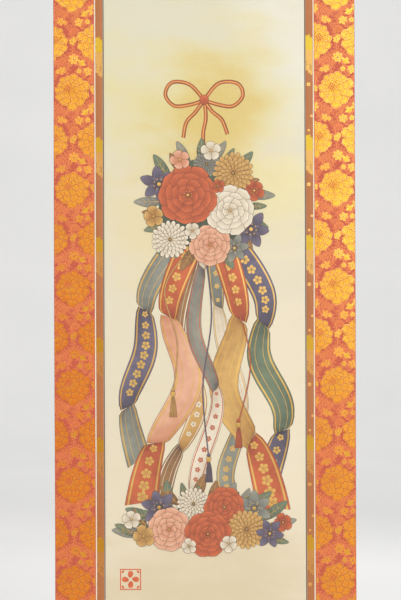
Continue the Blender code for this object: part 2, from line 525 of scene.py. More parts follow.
@dataclass(frozen=True)
class ClothSheet:
    """A sheet of cloth with its turned hems, in the shape in which the scroll hangs."""

    node: str
    slot: str
    thickness: float
    hems: tuple[Side, ...] = ()
    grid_step: float = 0.006
    cut_round: float = 0.00012
    fold_round: float = 0.0008
    side_hem: float = 0.006
    end_hem: float = 0.022
    hem_thickness: float = 0.0008
    full_thickness: float = 0.0012

    def build(self, face: Material, back: Material) -> Piece:
        """Makes the sheet.

        Args:
            face: The finish of the face and of the turned hems.
            back: The finish of the back.

        Returns:
            The piece, which replaces its solid of the frame.
        """
        area = Area.of_node(self.node)
        mesh = self._flat_grid(area)
        behind = self._draw_out(mesh, mesh.faces[:], self.thickness)
        for drawn in behind:
            drawn.material_index = 1
        hem = [drawn for drawn in behind if self._in_hem(drawn.calc_center_median(), area)]
        if hem:
            for turned in self._draw_out(mesh, hem, self.hem_thickness):
                turned.material_index = 0
        self._round_edges(mesh, area)
        HANG.lay(mesh, self.full_thickness - self.thickness)
        piece = finish_piece(mesh, self.node + "_cloth", self.slot, (face, back))
        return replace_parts(piece, self.node)

    def _flat_grid(self, area: Area) -> Mesh:
        """Makes a flat upright grid that faces -Y, with rows of points where the hems end.

        Args:
            area: What it covers.

        Returns:
            The grid.
        """
        mesh = bmesh.new()
        columns = max(1, round(area.width / self.grid_step))
        rows = max(1, round(area.height / self.grid_step))
        bmesh.ops.create_grid(mesh, x_segments=columns, y_segments=rows, size=0.5)
        bmesh.ops.rotate(mesh, verts=mesh.verts[:], matrix=Matrix.Rotation(radians(90), 3, "X"))
        bmesh.ops.scale(mesh, vec=Vector((area.width, 1.0, area.height)), verts=mesh.verts[:])
        x, z = area.centre
        bmesh.ops.translate(mesh, vec=Vector((x, 0.0, z)), verts=mesh.verts[:])
        for side in self.hems:
            outward = Vector((side.value[0], 0.0, side.value[1]))
            depth = self.side_hem if side.value[0] else self.end_hem
            edge = Vector((side.value[0] * area.width / 2 + x, 0.0, side.value[1] * area.height / 2 + z))
            everything = mesh.verts[:] + mesh.edges[:] + mesh.faces[:]
            bmesh.ops.bisect_plane(
                mesh, geom=everything, plane_co=edge - outward * depth, plane_no=outward,
                dist=self.grid_step / 8,
            )
        return mesh

    @staticmethod
    def _draw_out(mesh: Mesh, faces: Faces, distance: float) -> Faces:
        """Draws faces out towards the back.

        Args:
            mesh: The mesh that they are on.
            faces: The faces.
            distance: How far they go.

        Returns:
            The faces that now form the back.
        """
        edges = list({edge for face in faces for edge in face.edges})
        drawn = bmesh.ops.extrude_face_region(mesh, geom=faces + edges)["geom"]
        moved = [part for part in drawn if isinstance(part, bmesh.types.BMVert)]
        bmesh.ops.translate(mesh, vec=Vector((0.0, distance, 0.0)), verts=moved)
        bmesh.ops.recalc_face_normals(mesh, faces=mesh.faces[:])
        return [part for part in drawn if isinstance(part, bmesh.types.BMFace)]

    def _in_hem(self, place: Vector, area: Area) -> bool:
        """Tells whether a place on the back lies on a turned hem.

        Args:
            place: The place.
            area: What the sheet covers.

        Returns:
            Whether it does.
        """
        reach = {
            Side.LEFT: area.left + self.side_hem - place.x,
            Side.RIGHT: place.x - area.right + self.side_hem,
            Side.TOP: place.z - area.top + self.end_hem,
            Side.BOTTOM: area.bottom + self.end_hem - place.z,
        }
        return any(reach[side] > 0 for side in self.hems)

    def _round_edges(self, mesh: Mesh, area: Area) -> None:
        """Rounds the folded outer edges fully and the cut edges a little.

        Args:
            mesh: The flat sheet, with its hems.
            area: What it covers.
        """
        near = self.cut_round / 4
        on_side = {
            Side.LEFT: lambda v: abs(v.co.x - area.left) < near,
            Side.RIGHT: lambda v: abs(v.co.x - area.right) < near,
            Side.TOP: lambda v: abs(v.co.z - area.top) < near,
            Side.BOTTOM: lambda v: abs(v.co.z - area.bottom) < near,
        }
        folded = [
            edge
            for edge in self._square_edges(mesh)
            if any(all(on_side[side](v) for v in edge.verts) for side in self.hems)
        ]
        if folded:
            round_edges(mesh, folded, self.fold_round, 4)
        round_edges(mesh, self._square_edges(mesh), self.cut_round, 2)

    @staticmethod
    def _square_edges(mesh: Mesh) -> Edges:
        """The edges where two faces meet at more than 50 degrees."""
        square = radians(50)
        return [edge for edge in mesh.edges if edge.is_manifold and edge.calc_face_angle(0.0) > square]


@dataclass(frozen=True)
class Spot:
    """Where a flat shape goes: its own origin, its turn in degrees, and its height above the cloth."""

    x: float
    y: float
    turn: float = 0.0
    level: float = 0.0

    def moved(self, along: float, sideways: float = 0.0, turn: float = 0.0, level: float = 0.0) -> "Spot":
        """A spot further along this one's own directions.

        Args:
            along: The way to go in the direction in which petals grow.
            sideways: The way to go to the right of that.
            turn: Degrees to add to the turn, counted to the left.
            level: Height to add.

        Returns:
            The new spot.
        """
        way = radians(self.turn)
        x = self.x - sin(way) * along + cos(way) * sideways
        y = self.y + cos(way) * along + sin(way) * sideways
        return Spot(x, y, self.turn + turn, self.level + level)


@dataclass(frozen=True)
class Petal:
    """The outline of a petal or leaf, which grows from its base at the origin along +y."""

    length: float
    width: float
    swell: float = 0.8
    frill: float = 0.0
    waves: int = 5
    tip: float = 0.0
    bend: float = 0.0

    def point(self, across: float, along: float) -> Point:
        """Gives the place of a point of the unit disc on the petal.

        Args:
            across: The disc's x.
            along: The disc's y, from -1 at the base to 1 at the tip.

        Returns:
            The place, as x and y.
        """
        angle = atan2(across, along)
        radius = hypot(across, along)
        wave = 1 + self.frill * cos(self.waves * angle) * radius**3
        share = max(0.0, (along * wave + 1) / 2)
        end = self.tip * max(0.0, along) ** 6
        y = self.length * (share**self.swell + end)
        x = self.width / 2 * across * wave + self.bend * self.length * share**2
        return x, y


@dataclass(frozen=True)
class Course:
    """A smooth line through given points."""

    points: tuple[Point, ...]

    @classmethod
    def through(cls, *spots: Spot) -> "Course":
        """The line through the places of some spots."""
        return cls(tuple((spot.x, spot.y) for spot in spots))

    def at(self, share: float) -> Vector:
        """Gives the place at a share of the way.

        Args:
            share: The share, from 0 to 1.

        Returns:
            The place.
        """
        last = len(self.points) - 1
        step = min(int(share * last), last - 1)
        t = share * last - step
        numbers = [max(0, min(last, step + k)) for k in (-1, 0, 1, 2)]
        before, start, end, after = (Vector(self.points[number]) for number in numbers)
        return 0.5 * (
            2 * start
            + (end - before) * t
            + (2 * before - 5 * start + 4 * end - after) * t**2
            + (3 * start - before - 3 * end + after) * t**3
        )

    def heading(self, share: float) -> Vector:
        """The unit direction of travel at a share of the way."""
        return (self.at(min(1.0, share + 0.01)) - self.at(max(0.0, share - 0.01))).normalized()

    def part(self, low: float, high: float, points: int = 9) -> "Course":
        """The part of the line between two shares of its way."""
        shares = [low + (high - low) * number / (points - 1) for number in range(points)]
        return Course(tuple(tuple(self.at(share)) for share in shares))

    def spot(self, share: float, turn: float = 0.0, level: float = 0.0) -> Spot:
        """The spot on the line from which a petal grows straight ahead, or turned to the left."""
        place, ahead = self.at(share), self.heading(share)
        return Spot(place.x, place.y, degrees(atan2(-ahead.x, ahead.y)) + turn, level)


class FlatDesign:
    """Flat shapes in millimetres, laid over each other at small heights above the cloth."""

    def __init__(self) -> None:
        """Starts with an empty mesh whose points carry a tone."""
        self.mesh = bmesh.new()
        self.tone = self.mesh.verts.layers.float.new("tone")

    def petal(
        self,
        outline: Petal,
        spot: Spot,
        paints: tuple[int, ...],
        rims: tuple[float, ...] = (),
        points: int = 12,
        fine: int = 0,
        tilt: float = 0.0,
        tones: tuple[float, float] = (0.0, 1.0),
    ) -> None:
        """Adds a petal, a leaf or any rounded shape.

        Args:
            outline: Its shape.
            spot: Where it grows from.
            paints: The material numbers of its middle and then of its rims from the outside inwards.
            rims: The widths of the rims.
            points: How many points a plain outline has.
            fine: How many cells a shaded petal has each way, or 0 for a plain one.
            tilt: How much higher its left side lies than its right side.
            tones: The tone at its base and at its tip, 0 dark and 1 light.
        """
        if fine:
            verts = bmesh.ops.create_grid(self.mesh, x_segments=fine, y_segments=fine, size=1.0)["verts"]
            for vertex in verts:
                a, b = vertex.co.x, vertex.co.y
                vertex.co.x, vertex.co.y = a * sqrt(1 - b * b / 2), b * sqrt(1 - a * a / 2)
        else:
            verts = bmesh.ops.create_circle(self.mesh, cap_ends=True, segments=points, radius=1.0)["verts"]
        for vertex in verts:
            across, along = vertex.co.x, vertex.co.y
            vertex[self.tone] = tones[0] + (tones[1] - tones[0]) * (along + 1) / 2
            x, y = outline.point(across, along)
            vertex.co = Vector((x, y, -tilt * across / 2))
        self._finish(verts, spot, paints, rims)

    def dot(
        self, spot: Spot, size: float, paints: tuple[int, ...], rims: tuple[float, ...] = (), points: int = 12
    ) -> None:
        """Adds a round shape.

        Args:
            spot: Its middle.
            size: How wide it is.
            paints: As for a petal.
            rims: As for a petal.
            points: How many points its outline has.
        """
        self.petal(Petal(size, size, 1.0), spot.moved(-size / 2), paints, rims, points)

    def band(
        self,
        course: Course,
        width: Callable[[float], float],
        level: float,
        paints: tuple[int, ...],
        rims: tuple[float, ...] = (),
        steps: int = 12,
        cells: int = 1,
        lane: tuple[float, float] = (-1.0, 1.0),
        tone: Callable[[float, float], float] | None = None,
        notch: float = 0.0,
        slants: tuple[float, float] = (0.0, 0.0),
    ) -> None:
        """Adds a stem, a cord or a ribbon along a line.

        Args:
            course: Its middle line.
            width: Its full width at each share of the way.
            level: Its height above the cloth at the start.
            paints: As for a petal.
            rims: As for a petal.
            steps: How many cells it has along its way.
            cells: How many cells it has across.
            lane: The part of the width that it fills, from -1 at the left to 1 at the right.
            tone: Gives the tone from the share of the way and the place across.
            notch: How deep a V is cut into its end.
            slants: How far its right edge runs ahead of its middle at the start and at the end.
        """
        verts = bmesh.ops.create_grid(self.mesh, x_segments=cells, y_segments=steps, size=1.0)["verts"]
        for vertex in verts:
            share = min(1.0, max(0.0, (vertex.co.y + 1) / 2))
            across = lane[0] + (lane[1] - lane[0]) * (vertex.co.x + 1) / 2
            ahead = course.heading(share)
            place = course.at(share) + Vector((ahead.y, -ahead.x)) * across * width(share) / 2
            place -= ahead * notch * (1 - abs(across)) * share**5
            place += ahead * across * (slants[0] * (1 - share) ** 5 + slants[1] * share**5)
            vertex[self.tone] = tone(share, across) if tone else 0.5
            vertex.co = Vector((place.x, place.y, 0.0))
        self._finish(verts, Spot(0.0, 0.0, 0.0, level), paints, rims)

    def _finish(
        self, verts: list[bmesh.types.BMVert], spot: Spot, paints: tuple[int, ...], rims: tuple[float, ...]
    ) -> None:
        """Paints a new shape, cuts its rims and puts it in its place.

        Args:
            verts: Its points.
            spot: Where its own origin goes.
            paints: The material numbers of its middle and then of its rims.
            rims: The widths of the rims.
        """
        faces = list({face for vertex in verts for face in vertex.link_faces})
        for face in faces:
            face.material_index = paints[0]
        inner = faces
        moved = set(verts)
        for width, paint in zip(rims, paints[1:]):
            cut = bmesh.ops.inset_region(
                self.mesh, faces=inner, thickness=width, use_boundary=True, use_even_offset=False
            )["faces"]
            for face in cut:
                face.material_index = paint
                moved.update(face.verts)
            inner = [face for face in inner if face.is_valid]
        turn = Matrix.Rotation(radians(spot.turn), 4, "Z")
        place = Matrix.Translation((spot.x, spot.y, spot.level))
        bmesh.ops.transform(self.mesh, matrix=place @ turn, verts=list(moved))

    def ring(
        self, count: int, turn: float, spot: Spot, draw: Callable[[Spot, int], None], reach: float = 0.0
    ) -> None:
        """Calls for a shape at even turns round a spot.

        Args:
            count: How many shapes.
            turn: The turn of the first one in degrees.
            spot: The middle.
            draw: Draws one shape from its spot and its number.
            reach: How far from the middle each spot lies.
        """
        for number in range(count):
            way = Spot(spot.x, spot.y, spot.turn + turn + 360 * number / count, spot.level)
            draw(way.moved(reach), number)


class Thread(Enum):
    """The threads of the brocade's figures, in the order of their material numbers."""

    LEAF = 0
    LEAF_EDGE = 1
    SHADE = 2
    GOLD = 3
    GOLD_EDGE = 4
    BRIGHT = 5
    CRIMSON = 6


@dataclass(frozen=True)
class Vine:
    """A woven stem with leaves at both sides."""

    way: tuple[Point, ...]
    leaves: int
    leaf_length: float = 7.0


@dataclass(frozen=True)
class Floret:
    """A small woven flower."""

    x: float
    y: float
    radius: float
    petals: int = 5
    turn: float = 0.0
    bright: bool = False


@dataclass(frozen=True)
class NetLeaf:
    """A broad leaf woven as a net."""

    x: float
    y: float
    turn: float
    length: float
    width: float


@dataclass(frozen=True)
class Fan:
    """A spray of narrow leaves from one point."""

    x: float
    y: float
    turn: float
    length: float
    leaves: int = 7
    spread: float = 130.0


@dataclass(frozen=True)
class WovenRing:
    """One ring of the woven peony's petals, with its reach as shares of the flower's own."""

    count: int
    start: float
    near: float
    far: float
    fullness: float
    level: float


@dataclass(frozen=True)
class BrocadeRepeat:
    """One repeat of the brocade: a big peony with the foliage below it, and the same mirrored half
    a repeat to the side and half a repeat down."""

    wide: float = 79.5
    tall: float = 177.8
    peony_radius: float = 31.5
    core: Point = (-5.5, 6.0)
    vines: tuple[Vine, ...] = (
        Vine(((-2, -29), (-9, -37), (-17, -42), (-17, -51), (-9, -56), (-4, -63)), 9),
        Vine(((6, -29), (11, -38), (7, -47), (1, -53), (4, -62), (1, -70)), 8),
        Vine(((0, -66), (-2.5, -78), (1.5, -90), (-0.5, -102), (2, -113)), 9, 6.5),
        Vine(((1, -110), (-8, -113), (-17, -119), (-26, -122), (-35, -126)), 8),
        Vine(((3, -110), (12, -112), (21, -118), (30, -121), (37, -127)), 8),
        Vine(((-3, -121), (-9, -127), (-6, -135), (-12, -141), (-9, -150)), 7),
        Vine(((8, -124), (14, -137), (22, -143), (30, -139), (36, -133)), 7),
        Vine(((20, -30), (27, -36), (24, -45), (30, -52), (33, -57)), 6),
        Vine(((-22, -28), (-28, -34), (-26, -44), (-31, -50)), 6),
    )
    fans: tuple[Fan, ...] = (
        Fan(4, -74, 0, 13.0),
        Fan(-14, -46, 150, 9.0, 5, 110),
        Fan(-20, -127, 60, 10.0, 5, 120),
        Fan(25, -124, -50, 10.0, 5, 120),
    )
    net_leaves: tuple[NetLeaf, ...] = (
        NetLeaf(-15, -131, 160, 17.0, 12.0),
        NetLeaf(16, -140, -150, 15.0, 10.0),
        NetLeaf(-2, -33, 165, 13.0, 9.0),
        NetLeaf(-30, -129, 110, 12.0, 9.0),
    )
    florets: tuple[Floret, ...] = (
        Floret(12.5, -52, 8.0, 6, 10),
        Floret(-21, -50, 6.5, 5, 40),
        Floret(20.5, -34, 3.6, 4, 0, True),
        Floret(4, -82, 5.0, 5, 20),
        Floret(2.5, -119, 9.6, 7, 0),
        Floret(39.5, 2, 6.2, 5, 15, True),
        Floret(28, -51, 4.6, 5, 0, True),
        Floret(-26, -141, 4.2, 5, 30),
    )
    bud: Spot = Spot(13.5, -130, -35)
    bud_level: float = 0.20
    disc_level: float = 0.20
    rings: tuple[WovenRing, ...] = (
        WovenRing(12, 8, 0.42, 1.0, 1.16, 0.25),
        WovenRing(10, 24, 0.26, 0.76, 1.2, 0.30),
        WovenRing(7, 5, 0.07, 0.50, 1.2, 0.35),
    )
    heart_level: float = 0.39
    net_lift: float = 0.05
    detail: float = 1.0

    def build(self) -> DrawnMesh:
        """Draws the repeat once, flat, with the first peony at the origin."""
        design = FlatDesign()
        for number, vine in enumerate(self.vines):
            self._draw_vine(design, vine, 0.05 + 0.006 * number)
        for number, fan in enumerate(self.fans):
            self._draw_fan(design, fan, 0.115 + 0.004 * number)
        for number, leaf in enumerate(self.net_leaves):
            self._draw_net_leaf(design, leaf, 0.14 + 0.004 * number)
        for number, floret in enumerate(self.florets):
            self._draw_floret(design, floret, 0.17 + 0.006 * number)
        self._draw_bud(design, self.bud)
        self._draw_peony(design)
        self._add_mirrored(design.mesh)
        data = bpy.data.meshes.new("brocade_repeat")
        design.mesh.to_mesh(data)
        design.mesh.free()
        return data

    def _points(self, usual: int) -> int:
        """How many points an outline has that has the usual number at full detail."""
        return max(5, round(usual * self.detail))

    def _add_mirrored(self, mesh: Mesh) -> None:
        """Adds the mirrored half of the repeat.

        Args:
            mesh: The flat mesh of the first half.
        """
        copied = bmesh.ops.duplicate(mesh, geom=mesh.verts[:] + mesh.edges[:] + mesh.faces[:])["geom"]
        verts = [part for part in copied if isinstance(part, bmesh.types.BMVert)]
        faces = [part for part in copied if isinstance(part, bmesh.types.BMFace)]
        bmesh.ops.scale(mesh, vec=Vector((-1.0, 1.0, 1.0)), verts=verts)
        bmesh.ops.translate(mesh, vec=Vector((self.wide / 2, -self.tall / 2, 0.0)), verts=verts)
        bmesh.ops.reverse_faces(mesh, faces=faces)

    def _outer_reach(self, turn: float) -> float:
        """How far the peony's outline lies from its core in a direction."""
        ahead = Vector((-sin(radians(turn)), cos(radians(turn))))
        core = Vector(self.core)
        beside = core.dot(ahead)
        return -beside + sqrt(beside**2 - core.length_squared + self.peony_radius**2)

    def _draw_peony(self, design: FlatDesign) -> None:
        """Draws the big flower: rings of outlined petals round an oval core set to one side.

        Args:
            design: What to draw on.
        """
        size = self.peony_radius * 0.93
        disc = Petal(2 * size, 2 * size, 1.0)
        design.petal(disc, Spot(0.0, -size, 0.0, self.disc_level), (Thread.SHADE.value,), fine=9)
        for ring in self.rings:
            self._draw_ring(design, ring)
        core = Spot(*self.core)
        heart = Spot(core.x - 1.0, core.y - 9.5, 12.0, self.heart_level)
        self._draw_net(design, Petal(20.0, 16.0, 1.0), heart, self.net_lift, Thread.GOLD.value, 3.9)
        hook_level = self.rings[0].level + 0.03
        for turn, bend in ((-62, 0.35), (-84, -0.3), (-108, 0.3)):
            hook = Spot(core.x, core.y, turn, hook_level).moved(self._outer_reach(turn) * 0.86)
            way = ((0, 0), (3.5 * bend, 3.5), (9 * bend, 6.0), (14 * bend, 4.5))
            course = Course.through(*(hook.moved(y, x) for x, y in way))
            edge = (Thread.GOLD_EDGE.value,)
            design.band(course, lambda share: 1.3 - 0.7 * share, hook_level, edge, steps=6)

    def _draw_ring(self, design: FlatDesign, ring: WovenRing) -> None:
        """Draws one ring of the big flower, with veins where the repeat has its full detail.

        Args:
            design: What to draw on.
            ring: The ring.
        """
        shade = Thread.SHADE.value
        paints = (Thread.GOLD.value, Thread.GOLD_EDGE.value, shade)

        def draw_petal(spot: Spot, number: int) -> None:
            """Draws a petal that is a little larger or smaller than its neighbours.

            Args:
                spot: The flower's middle, turned towards the petal.
                number: The petal's number in its ring.
            """
            reach = self._outer_reach(spot.turn) * (1 + 0.06 * sin(2.4 * number + ring.count))
            length = reach * (ring.far - ring.near)
            pitch = 2 * pi * reach * (ring.near + 0.62 * (ring.far - ring.near)) / ring.count
            width = pitch * ring.fullness * (1 + 0.08 * sin(5.3 * number))
            base = spot.moved(reach * ring.near, turn=4 * sin(3.7 * number + ring.count))
            petal = Petal(length, width, 0.66, 0.07, 6)
            design.petal(petal, base, paints, (0.8, 1.0), self._points(22), tilt=0.03)
            for slant in (-0.5, 0.0, 0.5) if self.detail == 1 else ():
                foot = base.moved(0.34 * length, 0.5 * slant * width)
                end = base.moved(0.72 * length, 0.9 * slant * width)
                vein = Course.through(foot, end)
                design.band(vein, lambda share: 0.55 - 0.25 * share, base.level + 0.02, (shade,), steps=1)

        design.ring(ring.count, ring.start, Spot(*self.core, 0.0, ring.level), draw_petal)

    def _draw_net(
        self, design: FlatDesign, oval: Petal, spot: Spot, lift: float, paint: int, pitch: float
    ) -> None:
        """Draws an oval with crossed crimson lines over it.

        Args:
            design: What to draw on.
            oval: The oval's outline.
            spot: Where the oval grows from.
            lift: How far the lines lie above it.
            paint: Its material number.
            pitch: The distance between the lines.
        """
        design.petal(oval, spot, (paint,), fine=4)
        crimson = Thread.CRIMSON.value
        half_long, half_wide = oval.length / 2, oval.width / 2
        count = int(half_long * 0.8 / pitch)
        for slant in (40, -40):
            across = Vector((cos(radians(slant)), sin(radians(slant))))
            ahead = Vector((-across.y, across.x))
            spread = hypot(half_wide * across.x, half_long * across.y)
            for offset in (row * pitch for row in range(-count, count + 1)):
                if abs(offset) > spread * 0.85:
                    continue
                reach = 0.86 * sqrt(1 - (offset / spread) ** 2) * half_long * half_wide / spread
                middle = across * offset * (1 - 0.1 * abs(offset) / spread)
                ends = (middle - ahead * reach, middle + ahead * reach)
                course = Course.through(*(spot.moved(end.y + half_long, end.x) for end in ends))
                design.band(course, lambda share: 0.28 * pitch, spot.level + lift, (crimson,), steps=2)

    def _draw_vine(self, design: FlatDesign, vine: Vine, level: float) -> None:
        """Draws a stem with leaves that point forward at both sides in turn.

        Args:
            design: What to draw on.
            vine: The stem.
            level: The height of its leaves.
        """
        leaf, edge, crimson = Thread.LEAF.value, Thread.LEAF_EDGE.value, Thread.CRIMSON.value
        course = Course(vine.way)
        design.band(course, lambda share: 1.7 - 0.6 * share, level + 0.03, (edge,), steps=10)
        for number in range(vine.leaves):
            share = (number + 0.5) / vine.leaves
            for side in (-1, 1):
                size = vine.leaf_length * (1.0 - 0.25 * share) * (1 + 0.15 * sin(5.1 * number + 2 * side))
                petal = Petal(size, size * 0.56, 0.85, 0.10, 3, 0.12, -0.12 * side)
                spot = course.spot(share + 0.02 * side, side * 58, level)
                design.petal(petal, spot, (leaf, edge), (0.5,), self._points(10), tilt=0.04)
                rib = Course.through(spot.moved(size * 0.15), spot.moved(size * 0.75, -0.08 * side * size))
                design.band(rib, lambda way: 0.7 - 0.3 * way, level + 0.02, (crimson,), steps=1)

    def _draw_fan(self, design: FlatDesign, fan: Fan, level: float) -> None:
        """Draws a spray of narrow leaves, the middle one longest.

        Args:
            design: What to draw on.
            fan: The spray.
            level: Its height.
        """
        paints = (Thread.LEAF.value, Thread.LEAF_EDGE.value)
        for number in range(fan.leaves):
            share = number / (fan.leaves - 1) - 0.5
            length = fan.length * (1 - 0.9 * share**2)
            base = Spot(fan.x, fan.y, fan.turn + fan.spread * share, level).moved(1.0)
            design.petal(Petal(length, length * 0.3, 0.6), base, paints, (0.5,), self._points(10), tilt=0.02)

    def _draw_net_leaf(self, design: FlatDesign, leaf: NetLeaf, level: float) -> None:
        """Draws a broad leaf with a net of crimson lines.

        Args:
            design: What to draw on.
            leaf: The leaf.
            level: Its height.
        """
        oval = Petal(leaf.length, leaf.width, 0.95, 0.05, 6)
        spot = Spot(leaf.x, leaf.y, leaf.turn, level)
        self._draw_net(design, oval, spot, 0.03, Thread.LEAF_EDGE.value, 2.0)

    def _draw_floret(self, design: FlatDesign, floret: Floret, level: float) -> None:
        """Draws a small flower with outlined petals and a round middle.

        Args:
            design: What to draw on.
            floret: The flower.
            level: The height of its petals.
        """
        fill = Thread.BRIGHT.value if floret.bright else Thread.GOLD.value
        edge, shade = Thread.GOLD_EDGE.value, Thread.SHADE.value
        spot = Spot(floret.x, floret.y, floret.turn, level)
        size = floret.radius
        design.dot(spot.moved(0.0, level=-0.02), size * 1.5, (shade,))
        petal = Petal(size * 0.86, size * 3.9 / floret.petals, 0.7, 0.05, 2)

        def draw_petal(place: Spot, number: int) -> None:
            """Draws one petal."""
            design.petal(petal, place, (fill, edge), (size * 0.07,), self._points(10), tilt=0.02)

        design.ring(floret.petals, 0.0, spot, draw_petal, size * 0.14)
        design.dot(spot.moved(0.0, level=0.03), size * 0.44, (shade, edge), (size * 0.06,), 8)

    def _draw_bud(self, design: FlatDesign, spot: Spot) -> None:
        """Draws a bright bud between two curled sepals.

        Args:
            design: What to draw on.
            spot: Where the bud grows from.
        """
        bright, edge = Thread.BRIGHT.value, Thread.GOLD_EDGE.value
        low = Spot(spot.x, spot.y, spot.turn, self.bud_level)
        for side in (-1, 1):
            petal = Petal(9.5, 5.0, 0.8, 0.0, 5, 0.1, 0.32 * side)
            design.petal(petal, low.moved(0.0, turn=-24 * side), (bright, edge), (0.5,), 12, tilt=0.02)
        design.petal(Petal(6.5, 4.2, 0.8), low.moved(2.5, level=0.04), (bright,), points=10)


@dataclass(frozen=True)
class FiguredPanel:
    """The figures of one piece of the brocade."""

    node: str
    first_peony: Point
    edge_margin: float = 0.0009

    def build(self, repeat: BrocadeRepeat, drawn: DrawnMesh, threads: Materials) -> Piece:
        """Lays repeats over the panel and cuts them at its edges.

        Args:
            repeat: The sizes of the repeat.
            drawn: The repeat's flat mesh.
            threads: The materials in the order of Thread.

        Returns:
            The figures as one piece.
        """
        area = Area.of_node(self.node)
        wide, tall = repeat.wide * MM, repeat.tall * MM
        x, z = self.first_peony
        columns = range(round((area.left - x) / wide) - 1, round((area.right - x) / wide) + 2)
        rows = range(round((z - area.top) / tall) - 1, round((z - area.bottom) / tall) + 2)
        mesh = bmesh.new()
        for column in columns:
            for row in rows:
                self._add_copy(mesh, drawn, x + column * wide, z - row * tall, area)
        HANG.lay(mesh)
        return finish_piece(mesh, self.node + "_figures", "gold_brocade", threads)

    def _add_copy(self, mesh: Mesh, drawn: DrawnMesh, x: float, z: float, area: Area) -> None:
        """Adds what lies on the panel of one repeat.

        Args:
            mesh: The mesh of the panel's figures.
            drawn: The repeat's flat mesh.
            x: Where the repeat's first peony goes, across the scroll.
            z: The same along the scroll.
            area: What the panel covers.
        """
        copy = bmesh.new()
        copy.from_mesh(drawn)
        place = Matrix.Translation((x, 0.0, z)) @ Matrix.Rotation(radians(90), 4, "X") @ Matrix.Scale(MM, 4)
        bmesh.ops.transform(copy, matrix=place, verts=copy.verts[:])
        self._trim(copy, area)
        kept = bpy.data.meshes.new("repeat_on_panel")
        copy.to_mesh(kept)
        copy.free()
        mesh.from_mesh(kept)
        bpy.data.meshes.remove(kept)

    def _trim(self, mesh: Mesh, area: Area) -> None:
        """Cuts off what lies past the panel's edges.

        Args:
            mesh: One repeat, in its place.
            area: What the panel covers.
        """
        margin = self.edge_margin
        cuts = (
            (Vector((area.left + margin, 0.0, 0.0)), Vector((-1.0, 0.0, 0.0))),
            (Vector((area.right - margin, 0.0, 0.0)), Vector((1.0, 0.0, 0.0))),
            (Vector((0.0, 0.0, area.top - margin)), Vector((0.0, 0.0, 1.0))),
            (Vector((0.0, 0.0, area.bottom + margin)), Vector((0.0, 0.0, -1.0))),
        )
        for place, outward in cuts:
            everything = mesh.verts[:] + mesh.edges[:] + mesh.faces[:]
            bmesh.ops.bisect_plane(
                mesh, geom=everything, plane_co=place, plane_no=outward, clear_outer=True
            )


def hang_design(
    design: FlatDesign, name: str, slot: str, materials: Materials, origin: Point, level: float = 0.0
) -> Piece:
    """Puts a flat design on the hanging cloth as a piece.

    Args:
        design: The design, in millimetres, which is used up.
        name: The piece's name.
        slot: The record's material slot of its cloth.
        materials: Its materials, in the order of its material numbers.
        origin: Where its origin goes, as x and z.
        level: How far the cloth lies behind the brocade's face.

    Returns:
        The new object.
    """
    place = Matrix.Translation((origin[0], 0.0, origin[1]))
    upright = place @ Matrix.Rotation(radians(90), 4, "X") @ Matrix.Scale(MM, 4)
    bmesh.ops.transform(design.mesh, matrix=upright, verts=design.mesh.verts[:])
    HANG.lay(design.mesh, level)
    return finish_piece(design.mesh, name, slot, materials)


class StripThread(Enum):
    """The threads of the narrow strip's figures, in the order of their material numbers."""

    LEMON = 0
    OLD_GOLD = 1
    NOTCH = 2
    BLOSSOM = 3


